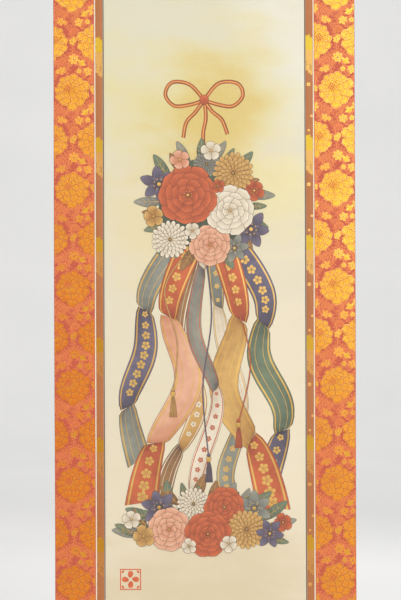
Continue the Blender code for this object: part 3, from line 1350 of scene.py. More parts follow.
@dataclass(frozen=True)
class StripFigures:
    """The gold bars of a narrow strip and the small blossoms between them."""

    node: str
    first_bar: float
    pitch: float = 180.8
    lane_width: float = 4.15
    lemon_end: float = -26.0
    lanes: tuple[tuple[float, float], ...] = ((-1.0, -61.0), (0.0, -66.0), (-5.0, -69.0))
    blossoms: tuple[tuple[float, float, float], ...] = ()
    level: float = 0.06

    def build(self, threads: Materials) -> Piece:
        """Draws the bars along the strip.

        Args:
            threads: The materials in the order of StripThread.

        Returns:
            The figures as one piece.
        """
        area = Area.of_node(self.node)
        design = FlatDesign()
        is_upright = area.height > area.width
        length = max(area.width, area.height) / MM
        count = int(length / self.pitch) + 2
        for number in range(count):
            self._draw_bar(design, -self.first_bar - self.pitch * number, length, is_upright)
        return hang_design(design, self.node + "_figures", "copper_brocade", threads, area.centre)

    def _draw_bar(self, design: FlatDesign, start: float, length: float, is_upright: bool) -> None:
        """Draws one bar, from its start downwards, with the blossoms below it.

        Args:
            design: What to draw on.
            start: Where the bar starts, counted from the strip's upper or right end and so negative.
            length: The strip's length.
            is_upright: Whether the strip is upright, and not level.
        """
        half = length / 2

        def put(x: float, y: float) -> Point:
            """Gives the place of a point of the bar, held within the strip."""
            along = max(-half + 0.6, min(half - 0.6, start + y + half))
            return (x, along) if is_upright else (along, x)

        def is_clear(y: float) -> bool:
            """Tells whether a point of the bar lies well within the strip."""
            return -half + 4 < start + y + half < half - 4

        size = self.lane_width
        for number, (top, foot) in enumerate(self.lanes):
            x = (number - 1) * size
            level = self.level + 0.004 * number
            lemon, old_gold = (StripThread.LEMON.value,), (StripThread.OLD_GOLD.value,)
            for high, low, paints in ((top, self.lemon_end, lemon), (self.lemon_end, foot, old_gold)):
                course = Course((put(x, high), put(x, low)))
                if (Vector(course.points[0]) - Vector(course.points[1])).length > 1:
                    design.band(course, lambda share: size + 0.02, level, paints, steps=6)
            for y, paints in ((top, lemon), (foot, old_gold)):
                if is_clear(y):
                    design.dot(Spot(*put(x, y), 0.0, level + 0.01), size, paints, points=10)
            for y in (foot + 12.0, foot + 6.5):
                if is_clear(y):
                    spot = Spot(*put(x + 0.8, y), 35.0 - 70.0 * (number % 2), level + 0.03)
                    notch = Petal(3.4, 1.5, 0.8, tip=0.3)
                    design.petal(notch, spot, (StripThread.NOTCH.value,), points=8)
        for x, y, radius in self.blossoms:
            if is_clear(y):
                self._draw_blossom(design, Spot(*put(x, y), 12.0 * x, self.level + 0.01), radius)

    @staticmethod
    def _draw_blossom(design: FlatDesign, spot: Spot, radius: float) -> None:
        """Draws a tiny flower of five petals.

        Args:
            design: What to draw on.
            spot: Its middle.
            radius: How far its petals reach.
        """
        petal = Petal(radius * 0.9, radius * 0.95, 0.7)

        def draw_petal(place: Spot, number: int) -> None:
            """Draws one petal."""
            design.petal(petal, place, (StripThread.BLOSSOM.value,), points=8, tilt=0.02)

        design.ring(5, 0.0, spot, draw_petal, radius * 0.12)
        design.dot(spot.moved(0.0, level=0.03), radius * 0.5, (StripThread.NOTCH.value,), points=8)


class Paint(Enum):
    """The paints of the picture, in the order of their material numbers."""

    INK = 0
    VERMILION = 1
    NAVY = 2
    WHITE = 3
    PINK = 4
    OCHRE = 5
    GOLD = 6
    TEAL = 7
    SLATE = 8
    BROWN = 9


class Kind(Enum):
    """The kinds of painted flower, as the rings of petals that each has."""

    PEONY = "peony"
    MUM = "mum"
    STAR = "star"
    PLUM = "plum"


@dataclass(frozen=True)
class PetalRing:
    """One ring of a painted flower, with its sizes as shares of the flower's radius."""

    count: int
    near: float
    far: float
    width: float
    swell: float = 0.75
    frill: float = 0.0
    tip: float = 0.0
    start: float = 0.0


FLOWER_RINGS = {
    Kind.PEONY: (
        PetalRing(9, 0.42, 1.0, 0.66, 0.62, 0.07),
        PetalRing(8, 0.26, 0.78, 0.58, 0.62, 0.08, start=20),
        PetalRing(7, 0.12, 0.56, 0.46, 0.65, 0.09, start=8),
        PetalRing(5, 0.02, 0.34, 0.36, 0.70, 0.10, start=30),
    ),
    Kind.MUM: (
        PetalRing(20, 0.40, 1.0, 0.26, 0.62),
        PetalRing(18, 0.28, 0.80, 0.22, 0.62, start=9),
        PetalRing(15, 0.16, 0.60, 0.20, 0.62, start=4),
        PetalRing(11, 0.05, 0.40, 0.17, 0.65),
    ),
    Kind.STAR: (
        PetalRing(6, 0.06, 1.0, 0.62, 0.85, 0.0, 0.12),
        PetalRing(6, 0.04, 0.52, 0.24, 0.85, 0.0, 0.15, 30),
    ),
    Kind.PLUM: (PetalRing(5, 0.06, 1.0, 0.92, 0.62, 0.04),),
}


@dataclass(frozen=True)
class Bloom:
    """A painted flower."""

    kind: Kind
    paint: Paint
    x: float
    y: float
    radius: float
    turn: float = 0.0
    rim: float = 0.55
    ring_rise: float = 0.026

    @property
    def height(self) -> float:
        """How far its rings rise above its outer one, with the room for the next flower."""
        return self.ring_rise * len(FLOWER_RINGS[self.kind]) + 0.006

    def draw(self, design: FlatDesign, level: float) -> None:
        """Draws the flower.

        Args:
            design: What to draw on.
            level: The height of its outer ring.
        """
        size = self.radius
        paints, rims = (self.paint.value, Paint.INK.value), (min(self.rim, 0.05 * size),)
        middle = Spot(self.x, self.y, self.turn, level)
        for ring in FLOWER_RINGS[self.kind]:
            fine = 5 if ring.width * size > 7 else 3

            def draw_petal(place: Spot, number: int) -> None:
                """Draws a petal that is a little longer or shorter than its neighbours.

                Args:
                    place: The petal's foot.
                    number: Its number in its ring.
                """
                length = (ring.far - ring.near) * size * (1 + 0.06 * sin(2.3 * number + self.x))
                petal = Petal(length, ring.width * size, ring.swell, ring.frill, 6, ring.tip)
                design.petal(petal, place, paints, rims, fine=fine, tilt=0.02, tones=(0.05, 1.0))

            design.ring(ring.count, ring.start, middle, draw_petal, ring.near * size)
            middle = middle.moved(0.0, level=self.ring_rise)
        self._draw_heart(design, middle)

    def _draw_heart(self, design: FlatDesign, spot: Spot) -> None:
        """Draws the gold middle with its stamens.

        Args:
            design: What to draw on.
            spot: The flower's middle, at the height of its heart.
        """
        reach = self.radius * (0.30 if self.kind in (Kind.PLUM, Kind.STAR) else 0.13)
        gold, ink = Paint.GOLD.value, Paint.INK.value
        size = max(0.8, reach * 0.26)

        def draw_stamen(place: Spot, number: int) -> None:
            """Draws a thread with a gold end.

            Args:
                place: The end of the thread.
                number: Its number in its ring.
            """
            thread = Course.through(place.moved(-reach * 0.8), place)
            design.band(thread, lambda share: 0.4, spot.level, (ink,), steps=1)
            design.dot(place.moved(0.0, level=0.01), size, (gold,), points=6)

        design.ring(8, 10.0, spot, draw_stamen, reach)
        design.dot(spot.moved(0.0, level=0.01), reach * 0.8, (gold, ink), (0.35,))


@dataclass(frozen=True)
class Leaf:
    """A painted leaf."""

    x: float
    y: float
    turn: float
    length: float
    paint: Paint
    bend: float = 0.0

    def draw(self, design: FlatDesign, level: float) -> None:
        """Draws the leaf with its ribs in gold.

        Args:
            design: What to draw on.
            level: The height of the leaf.
        """
        spot = Spot(self.x, self.y, self.turn, level)
        petal = Petal(self.length, self.length * 0.42, 0.9, 0.0, 5, 0.14, self.bend)
        paints, gold = (self.paint.value, Paint.INK.value), (Paint.GOLD.value,)
        design.petal(petal, spot, paints, (0.5,), fine=5, tilt=0.03, tones=(0.1, 0.9))

        def on_rib(share: float) -> Spot:
            """Gives the spot on the middle rib at a share of its way."""
            return spot.moved(self.length * share, self.bend * self.length * share * share)

        rib = Course.through(*(on_rib(share) for share in (0.05, 0.35, 0.65, 0.95)))
        design.band(rib, lambda share: 0.9 - 0.5 * share, level + 0.025, gold, steps=4)
        for share in (0.25, 0.45, 0.65):
            for side in (-1, 1):
                foot = on_rib(share)
                side_rib = Course.through(foot, foot.moved(self.length * 0.12, side * self.length * 0.15))
                design.band(side_rib, lambda way: 0.45, level + 0.02, gold, steps=1)


@dataclass(frozen=True)
class Ribbon:
    """A painted ribbon that turns over as it falls."""

    way: tuple[Point, ...]
    start_width: float
    end_width: float
    front: Paint
    back: Paint
    trim: Paint
    turns: float = 3.0
    start: float = 0.1
    narrowest: float = 0.52
    slant: float = 0.30
    notch: float = 10.0

    def draw(self, design: FlatDesign, level: float) -> None:
        """Draws the ribbon in stretches that show its front and its back in turn.

        Args:
            design: What to draw on.
            level: The height of its own cloth.
        """
        course = Course(self.way)
        crossings = [(k + 0.5 - self.start) / self.turns for k in range(-1, int(self.turns) + 2)]
        bounds = [0.0, *(share for share in crossings if 0.02 < share < 0.98), 1.0]
        for number, (low, high) in enumerate(zip(bounds, bounds[1:])):
            way = self.slant if number % 2 else -self.slant
            first = -way * self._width(low) if low > 0 else 0.0
            second = way * self._width(high) if high < 1 else 0.0
            self._draw_stretch(design, course.part(low, high), (low, high), (first, second), level)

    def _facing(self, share: float) -> float:
        """How far the ribbon faces the viewer at a share of its way, from -1, its back, to 1."""
        return cos(pi * (self.turns * share + self.start))

    def _width(self, share: float) -> float:
        """The width that shows at a share of its way."""
        full = self.start_width + (self.end_width - self.start_width) * share
        return full * (self.narrowest + (1 - self.narrowest) * sqrt(abs(self._facing(share))))

    def _draw_stretch(
        self, design: FlatDesign, part: Course, span: Point, slants: Point, level: float
    ) -> None:
        """Draws the part of the ribbon between two turns.

        Args:
            design: What to draw on.
            part: Its middle line.
            span: The shares of the ribbon's way at its start and its end.
            slants: How far its right edge runs ahead of its middle at its start and its end.
            level: The height of the ribbon's cloth.
        """
        low, high = span
        is_front = self._facing((low + high) / 2) > 0
        body = self.front if is_front else self.back
        face = level + (0.02 if is_front else 0.0)
        shape = {"steps": max(6, round((high - low) * 44)), "slants": slants}
        shape["notch"] = self.notch if high == 1 else 0.0

        def width(share: float) -> float:
            """Gives the width at a share of the stretch."""
            return self._width(low + (high - low) * share)

        def tone(share: float, across: float) -> float:
            """Gives the tone at a place, darker where the ribbon turns away."""
            facing = abs(self._facing(low + (high - low) * share))
            return 0.04 + 0.72 * sqrt(facing) + 0.26 * across * cos(6 * share + 5 * low)

        paints = (body.value, Paint.INK.value)
        design.band(part, width, face, paints, (0.55,), cells=4, tone=tone, **shape)
        stripes = ((-0.86, -0.74), (0.74, 0.86))
        if not is_front:
            stripes += ((-0.36, -0.32), (0.32, 0.36))
        for lane in stripes:
            design.band(part, width, face + 0.03, (self.trim.value,), lane=lane, tone=tone, **shape)
        if is_front:
            self._draw_sprigs(design, part, width, face + 0.03)

    def _draw_sprigs(
        self, design: FlatDesign, part: Course, width: Callable[[float], float], level: float
    ) -> None:
        """Scatters small flowers down the middle of a stretch where it is broad.

        Args:
            design: What to draw on.
            part: The middle line of the stretch.
            width: Gives its width at a share of its way.
            level: The height of the flowers.
        """
        length = sum((part.at((k + 1) / 8) - part.at(k / 8)).length for k in range(8))
        count = max(1, round(length / 19))
        for number in range(count):
            share = (number + 0.5) / count
            radius = 0.17 * width(share)
            if radius < 3.2 or share > 0.9:
                continue
            spot = part.spot(share, 25.0 * number, level)
            petal = Petal(radius * 0.9, radius * 0.8, 0.7)

            def draw_petal(place: Spot, index: int) -> None:
                """Draws one petal."""
                design.petal(petal, place, (self.trim.value,), points=8, tones=(0.4, 0.9))

            design.ring(5, 0.0, spot, draw_petal, radius * 0.16)
            design.dot(spot.moved(0.0, level=0.01), radius * 0.36, (self.back.value,), points=6)


@dataclass(frozen=True)
class Tassel:
    """A painted silk tassel on a cord."""

    way: tuple[Point, ...]
    paint: Paint
    length: float = 40.0
    strands: int = 9

    def draw(self, design: FlatDesign, level: float) -> None:
        """Draws the cord, the knot and the strands.

        Args:
            design: What to draw on.
            level: The height of the cord.
        """
        course = Course(self.way)
        gold, ink = Paint.GOLD.value, Paint.INK.value
        paints = (self.paint.value, ink)
        design.band(course, lambda share: 2.6, level, paints, (0.45,), 24, tone=lambda s, a: 0.6)
        foot = course.at(1.0)
        for number in range(self.strands):
            lean = (number / (self.strands - 1) - 0.5) * 2
            strand = []
            for s in (0, 0.35, 0.7, 1):
                x = foot.x + lean * 7.5 * s**0.8 + 1.2 * sin(3 * s + lean)
                strand.append((x, foot.y - 5 - self.length * s))
            tone = 0.75 if number % 2 else 0.35
            design.band(
                Course(tuple(strand)), lambda share: 2.2 - 0.5 * share, level + 0.01 + 0.004 * number,
                paints, (0.3,), 6, tone=lambda s, a, t=tone: t - 0.25 * s,
            )
        cap = Spot(foot.x, foot.y - 9, 0.0, level + 0.07)
        design.petal(Petal(12.0, 9.5, 0.8), cap, (gold, ink), (0.5,), points=14, tones=(0.2, 0.9))
        design.petal(Petal(7.5, 7.5, 1.0), cap.moved(9.5, level=0.02), paints, (0.5,), points=12)


@dataclass(frozen=True)
class Picture:
    """The painted design: a ball of flowers hung from a bow, with ribbons that stream down to a bank
    of fallen flowers, in millimetres from the middle of the panel."""

    ball: Point = (0.0, 172.0)
    ball_radius: float = 96.0
    ribbons: tuple[Ribbon, ...] = (
        Ribbon(
            ((-46, 104), (-104, 12), (-108, -92), (-140, -190), (-118, -300)),
            44, 46, Paint.NAVY, Paint.SLATE, Paint.GOLD, 2.3, 0.75,
        ),
        Ribbon(
            ((50, 104), (108, 4), (98, -104), (142, -206), (114, -316)),
            46, 48, Paint.NAVY, Paint.TEAL, Paint.GOLD, 2.2, -0.3,
        ),
        Ribbon(
            ((-14, 90), (-50, -50), (-12, -190), (-66, -310), (-84, -396)),
            30, 32, Paint.OCHRE, Paint.BROWN, Paint.WHITE, 3.2, 0.4,
        ),
        Ribbon(
            ((18, 90), (30, -60), (66, -200), (36, -322), (72, -400)),
            30, 34, Paint.SLATE, Paint.WHITE, Paint.GOLD, 2.8, 0.0,
        ),
        Ribbon(
            ((-26, 98), (-66, -20), (-30, -148), (-94, -270), (-118, -378)),
            46, 58, Paint.VERMILION, Paint.PINK, Paint.GOLD, 2.2, -0.1,
        ),
        Ribbon(
            ((32, 98), (62, -30), (34, -164), (96, -280), (126, -388)),
            46, 60, Paint.VERMILION, Paint.OCHRE, Paint.GOLD, 2.3, -0.1,
        ),
        Ribbon(
            ((2, 92), (-20, -54), (22, -182), (-14, -308), (-30, -404)),
            26, 32, Paint.WHITE, Paint.SLATE, Paint.VERMILION, 2.6, 0.3,
        ),
    )
    tassels: tuple[Tassel, ...] = (
        Tassel(((-26, 92), (-72, 20), (-50, -80), (-58, -168)), Paint.OCHRE),
        Tassel(((28, 92), (50, 10), (82, -110), (60, -224)), Paint.VERMILION),
        Tassel(((0, 88), (12, -30), (-4, -160), (6, -286)), Paint.NAVY),
    )
    flowers: tuple[Bloom, ...] = (
        Bloom(Kind.STAR, Paint.NAVY, -82, 208, 31, 10),
        Bloom(Kind.STAR, Paint.NAVY, 84, 126, 31, 25),
        Bloom(Kind.MUM, Paint.SLATE, 4, 244, 24, 3),
        Bloom(Kind.PLUM, Paint.WHITE, 12, 268, 18, 5),
        Bloom(Kind.PLUM, Paint.VERMILION, 90, 196, 19, 30),
        Bloom(Kind.PLUM, Paint.OCHRE, -92, 150, 19, 12),
        Bloom(Kind.MUM, Paint.OCHRE, 52, 228, 37, 3),
        Bloom(Kind.MUM, Paint.WHITE, -62, 108, 34, 7),
        Bloom(Kind.STAR, Paint.SLATE, 54, 92, 24, 40),
        Bloom(Kind.PEONY, Paint.PINK, 10, 98, 38, 20),
        Bloom(Kind.PEONY, Paint.WHITE, 46, 160, 45, 0),
        Bloom(Kind.PEONY, Paint.VERMILION, -30, 188, 54, 12),
        Bloom(Kind.PLUM, Paint.PINK, -44, 252, 18, 20),
        Bloom(Kind.PLUM, Paint.WHITE, -22, 124, 15, 40),
        Bloom(Kind.PLUM, Paint.VERMILION, 24, 204, 13, 10),
    )
    bank: tuple[Bloom, ...] = (
        Bloom(Kind.PLUM, Paint.WHITE, -134, -398, 17, 8),
        Bloom(Kind.PLUM, Paint.VERMILION, 140, -404, 17, 20),
        Bloom(Kind.STAR, Paint.NAVY, -84, -376, 30, 15),
        Bloom(Kind.STAR, Paint.SLATE, 88, -378, 30, 0),
        Bloom(Kind.MUM, Paint.WHITE, -22, -370, 30, 9),
        Bloom(Kind.PEONY, Paint.VERMILION, 34, -376, 37, 14),
        Bloom(Kind.MUM, Paint.OCHRE, 74, -416, 36, 5),
        Bloom(Kind.PEONY, Paint.PINK, -66, -416, 40, 30),
        Bloom(Kind.STAR, Paint.NAVY, 116, -424, 24, 22),
        Bloom(Kind.PLUM, Paint.OCHRE, -112, -428, 20, 16),
        Bloom(Kind.PEONY, Paint.VERMILION, 4, -424, 42, 0),
        Bloom(Kind.PLUM, Paint.WHITE, 42, -442, 16, 30),
        Bloom(Kind.PLUM, Paint.WHITE, -30, -446, 14, 12),
    )
    flower_level: float = 0.64
    leaf_paints: tuple[Paint, ...] = (Paint.TEAL, Paint.SLATE, Paint.BROWN, Paint.TEAL)
    cord: tuple[Point, ...] = ((0, 362), (3, 328), (-2, 298), (0, 262))
    bow: tuple[tuple[Point, ...], ...] = (
        ((0, 360), (-26, 388), (-58, 392), (-70, 370), (-54, 350), (-24, 352), (0, 360)),
        ((0, 360), (26, 390), (60, 390), (70, 368), (52, 349), (24, 352), (0, 360)),
        ((0, 360), (-16, 338), (-32, 320), (-38, 292)),
        ((0, 360), (14, 340), (32, 324), (42, 298)),
    )

    def build(self, paints: Materials, origin: Point, level: float) -> list[Piece]:
        """Paints the design.

        Args:
            paints: The materials in the order of Paint.
            origin: The middle of the panel, as x and z.
            level: How far the panel's face lies behind the brocade's.

        Returns:
            The painted pieces.
        """
        strips = {f"ribbon_{number}": ribbon for number, ribbon in enumerate(self.ribbons, 1)}
        strips |= {f"tassel_{number}": tassel for number, tassel in enumerate(self.tassels, 1)}
        designs = {name: FlatDesign() for name in ("bow", "ball", "bank", *strips)}
        self._draw_bow(designs["bow"])
        self._draw_ball(designs["ball"])
        self._draw_bank(designs["bank"])
        for number, (name, strip) in enumerate(strips.items()):
            strip.draw(designs[name], 0.06 + 0.055 * number)
        return [
            hang_design(design, "painted_" + name, "painted_silk", paints, origin, level)
            for name, design in designs.items()
        ]

    def _draw_bow(self, design: FlatDesign) -> None:
        """Draws the cord from which the ball hangs, with its bow.

        Args:
            design: What to draw on.
        """
        red, ink, gold = Paint.VERMILION.value, Paint.INK.value, Paint.GOLD.value

        def width(share: float) -> float:
            """Gives the cord's width, which is the same all along."""
            return 7.0

        def tone(share: float, across: float) -> float:
            """Gives the tone, lighter towards the right edge."""
            return 0.55 + 0.35 * across

        for number, way in enumerate((self.cord, *self.bow)):
            level = 0.06 + 0.03 * number
            design.band(Course(way), width, level, (red, ink), (0.6,), 40, 2, tone=tone)
            design.band(Course(way), width, level + 0.02, (gold,), (), 40, 1, (-0.18, 0.18), tone)
        knot = Spot(0.0, 351.0, 0.0, 0.24)
        design.petal(Petal(19.0, 17.0, 1.0), knot, (red, ink), (0.6,), fine=4, tones=(0.2, 1.0))

    def _draw_ball(self, design: FlatDesign) -> None:
        """Draws the ball: leaves all round its edge, then the flowers, the main ones last.

        Args:
            design: What to draw on.
        """
        x, y = self.ball
        size = self.ball_radius
        ground = Petal(size * 1.72, size * 1.72, 1.0)
        base = Spot(x, y - size * 0.86, 0.0, 0.56)
        design.petal(ground, base, (Paint.TEAL.value,), fine=14, tones=(0.0, 0.25))

        def draw_leaf(spot: Spot, number: int) -> None:
            """Draws one leaf of the ring in its own turn and length.

            Args:
                spot: The leaf's foot.
                number: Its number in the ring.
            """
            paint = self.leaf_paints[number % len(self.leaf_paints)]
            turn, length = spot.turn + 14 * sin(1.7 * number), 38.0 + 9.0 * sin(2.7 * number)
            Leaf(spot.x, spot.y, turn, length, paint, 0.1).draw(design, spot.level)

        design.ring(22, 4.0, Spot(x, y, 0.0, 0.58), draw_leaf, size * 0.80)
        self._draw_flowers(design, self.flowers)

    def _draw_bank(self, design: FlatDesign) -> None:
        """Draws the fallen flowers at the foot, with leaves under them.

        Args:
            design: What to draw on.
        """
        for number in range(34):
            share = number / 33 * 2 - 1
            turn, length = -74 * share + 26 * sin(2.1 * number), 40 + 9 * sin(1.9 * number)
            paint = self.leaf_paints[number % len(self.leaf_paints)]
            y = -424 + 44 * (1 - share**2) + 16 * sin(3.3 * number)
            Leaf(122 * share, y, turn, length, paint, 0.12).draw(design, 0.50 + 0.004 * number)
        self._draw_flowers(design, self.bank)

    def _draw_flowers(self, design: FlatDesign, flowers: Sequence[Bloom]) -> None:
        """Draws flowers, each one above those before it.

        Args:
            design: What to draw on.
            flowers: The flowers, the lowest first.
        """
        level = self.flower_level
        for flower in flowers:
            flower.draw(design, level)
            level += flower.height


@dataclass(frozen=True)
class Stamp:
    """A small red square stamp with a plain four-petalled flower in it."""

    size: float = 38.0
    frame_width: float = 2.0
    level: float = 0.05

    def build(self, ink: Material, origin: Point, level: float) -> Piece:
        """Prints the stamp.

        Args:
            ink: Its ink.
            origin: Its middle, as x and z.
            level: How far the panel's face lies behind the brocade's.

        Returns:
            The stamp as a piece.
        """
        design = FlatDesign()
        half = self.size / 2
        inset = half - self.frame_width / 2
        for way in (
            ((-half, inset), (half, inset)), ((-half, -inset), (half, -inset)),
            ((-inset, half), (-inset, -half)), ((inset, half), (inset, -half)),
        ):
            design.band(Course(way), lambda share: self.frame_width, self.level, (0,), steps=8)
        petal, sepal = Petal(half * 0.66, half * 0.52, 0.7), Petal(half * 0.30, half * 0.16, 0.9, tip=0.3)

        def draw_petal(spot: Spot, number: int) -> None:
            """Draws one petal and the sepal beside it."""
            design.petal(petal, spot, (0,), points=14)
            design.petal(sepal, spot.moved(0.0, turn=45), (0,), points=8)

        design.ring(4, 0.0, Spot(0.0, 0.0, 0.0, self.level + 0.004), draw_petal, half * 0.16)
        for turn in (45, 135, 225, 315):
            corner = Spot(0.0, 0.0, turn, self.level + 0.008).moved(half * 0.92)
            design.petal(Petal(half * 0.2, half * 0.34, 0.8), corner, (0,), points=10)
        return hang_design(design, "painted_stamp", "painted_silk", (ink,), origin, level)


@dataclass(frozen=True)
class PaintFinish:
    """Mineral paint on silk, shaded by the tone that the mesh carries."""

    name: str
    deep: Colour
    pale: Colour
    roughness: float = 0.72
    metallic: float = 0.0
    worn: Colour = linear(226, 208, 176)
    relief: float = 0.00004

    def build(self) -> Material:
        """Makes the material."""
        material, nodes, shader, place = new_material(self.name)
        mottle = nodes.effect(MOTTLE, place, Size=0.016).outputs
        weave = nodes.effect(WEAVE, place, Warp=0.0003, Weft=0.0003, Ribbed=0.2).outputs
        brush = nodes.maths("MULTIPLY", nodes.maths("SUBTRACT", mottle["Patches"], 0.5), 0.3)
        share = nodes.maths("ADD", nodes.tone(), brush, clamp=True)
        base = nodes.blend(share, self.deep, self.pale)
        worn = nodes.blend(nodes.maths("MULTIPLY", mottle["Grain"], 0.12), base, self.worn)
        rough = nodes.spread(mottle["Grain"], 0.0, 1.0, self.roughness - 0.05, self.roughness + 0.06)
        shader.inputs["Metallic"].default_value = self.metallic
        nodes.dress(shader, worn, rough, weave["Height"], self.relief, 0.5)
        return material


@dataclass(frozen=True)
class Haze:
    """A soft patch of tint on the silk, as x, z and the half sizes."""

    x: float
    z: float
    half_wide: float
    half_tall: float
    colour: Colour
    strength: float


@dataclass(frozen=True)
class MistFinish:
    """Pale silk with a mist of gold dust."""

    name: str = "misted_silk"
    upper: Colour = linear(222, 218, 196)
    lower: Colour = linear(234, 221, 194)
    worn: Colour = linear(226, 208, 172)
    dust: Colour = linear(212, 176, 86)
    relief: float = 0.00005
    hazes: tuple[Haze, ...] = (
        Haze(0.17, -0.60, 0.15, 0.32, linear(236, 233, 219), 0.8),
        Haze(-0.02, -0.70, 0.27, 0.20, linear(227, 217, 160), 0.95),
        Haze(0.0, -0.735, 0.125, 0.15, linear(220, 196, 118), 0.9),
        Haze(0.12, -0.86, 0.13, 0.13, linear(236, 224, 166), 0.7),
        Haze(-0.11, -0.92, 0.12, 0.14, linear(230, 214, 163), 0.6),
        Haze(0.14, -1.24, 0.14, 0.36, linear(242, 230, 206), 0.5),
        Haze(0.0, -1.62, 0.36, 0.22, linear(218, 201, 166), 0.7),
    )

    def build(self) -> Material:
        """Makes the material."""
        material, nodes, shader, place = new_material(self.name)
        weave = nodes.effect(WEAVE, place, Warp=0.00035, Weft=0.00035, Ribbed=0.1).outputs
        mottle = nodes.effect(MOTTLE, place, Size=0.05, Stretch=2.5).outputs
        height = nodes.add("ShaderNodeSeparateXYZ", place).outputs["Z"]
        base = nodes.blend(nodes.spread(height, -1.60, -0.60, 1.0, 0.0), self.upper, self.lower)
        for haze in self.hazes:
            patch = nodes.effect(HAZE, place, X=haze.x, Z=haze.z, Wide=haze.half_wide, Tall=haze.half_tall)
            share = nodes.maths("MULTIPLY", patch.outputs["Share"], haze.strength)
            base = nodes.blend(share, base, haze.colour)
        base = nodes.blend(nodes.maths("MULTIPLY", mottle["Patches"], 0.16), base, self.worn)
        dust = nodes.spread(nodes.noise(place, 2400.0, 1.0), 0.55, 0.66, 0.0, 1.0)
        gold = nodes.effect(HAZE, place, X=0.0, Z=-0.74, Wide=0.17, Tall=0.26).outputs["Share"]
        flecks = nodes.maths("MULTIPLY", dust, nodes.maths("MULTIPLY", gold, 0.8))
        nodes.tree.links.new(nodes.maths("MULTIPLY", flecks, 0.6), shader.inputs["Metallic"])
        rough = nodes.spread(mottle["Grain"], 0.0, 1.0, 0.62, 0.74)
        nodes.dress(shader, nodes.blend(flecks, base, self.dust), rough, weave["Height"], self.relief, 0.5)
        return material


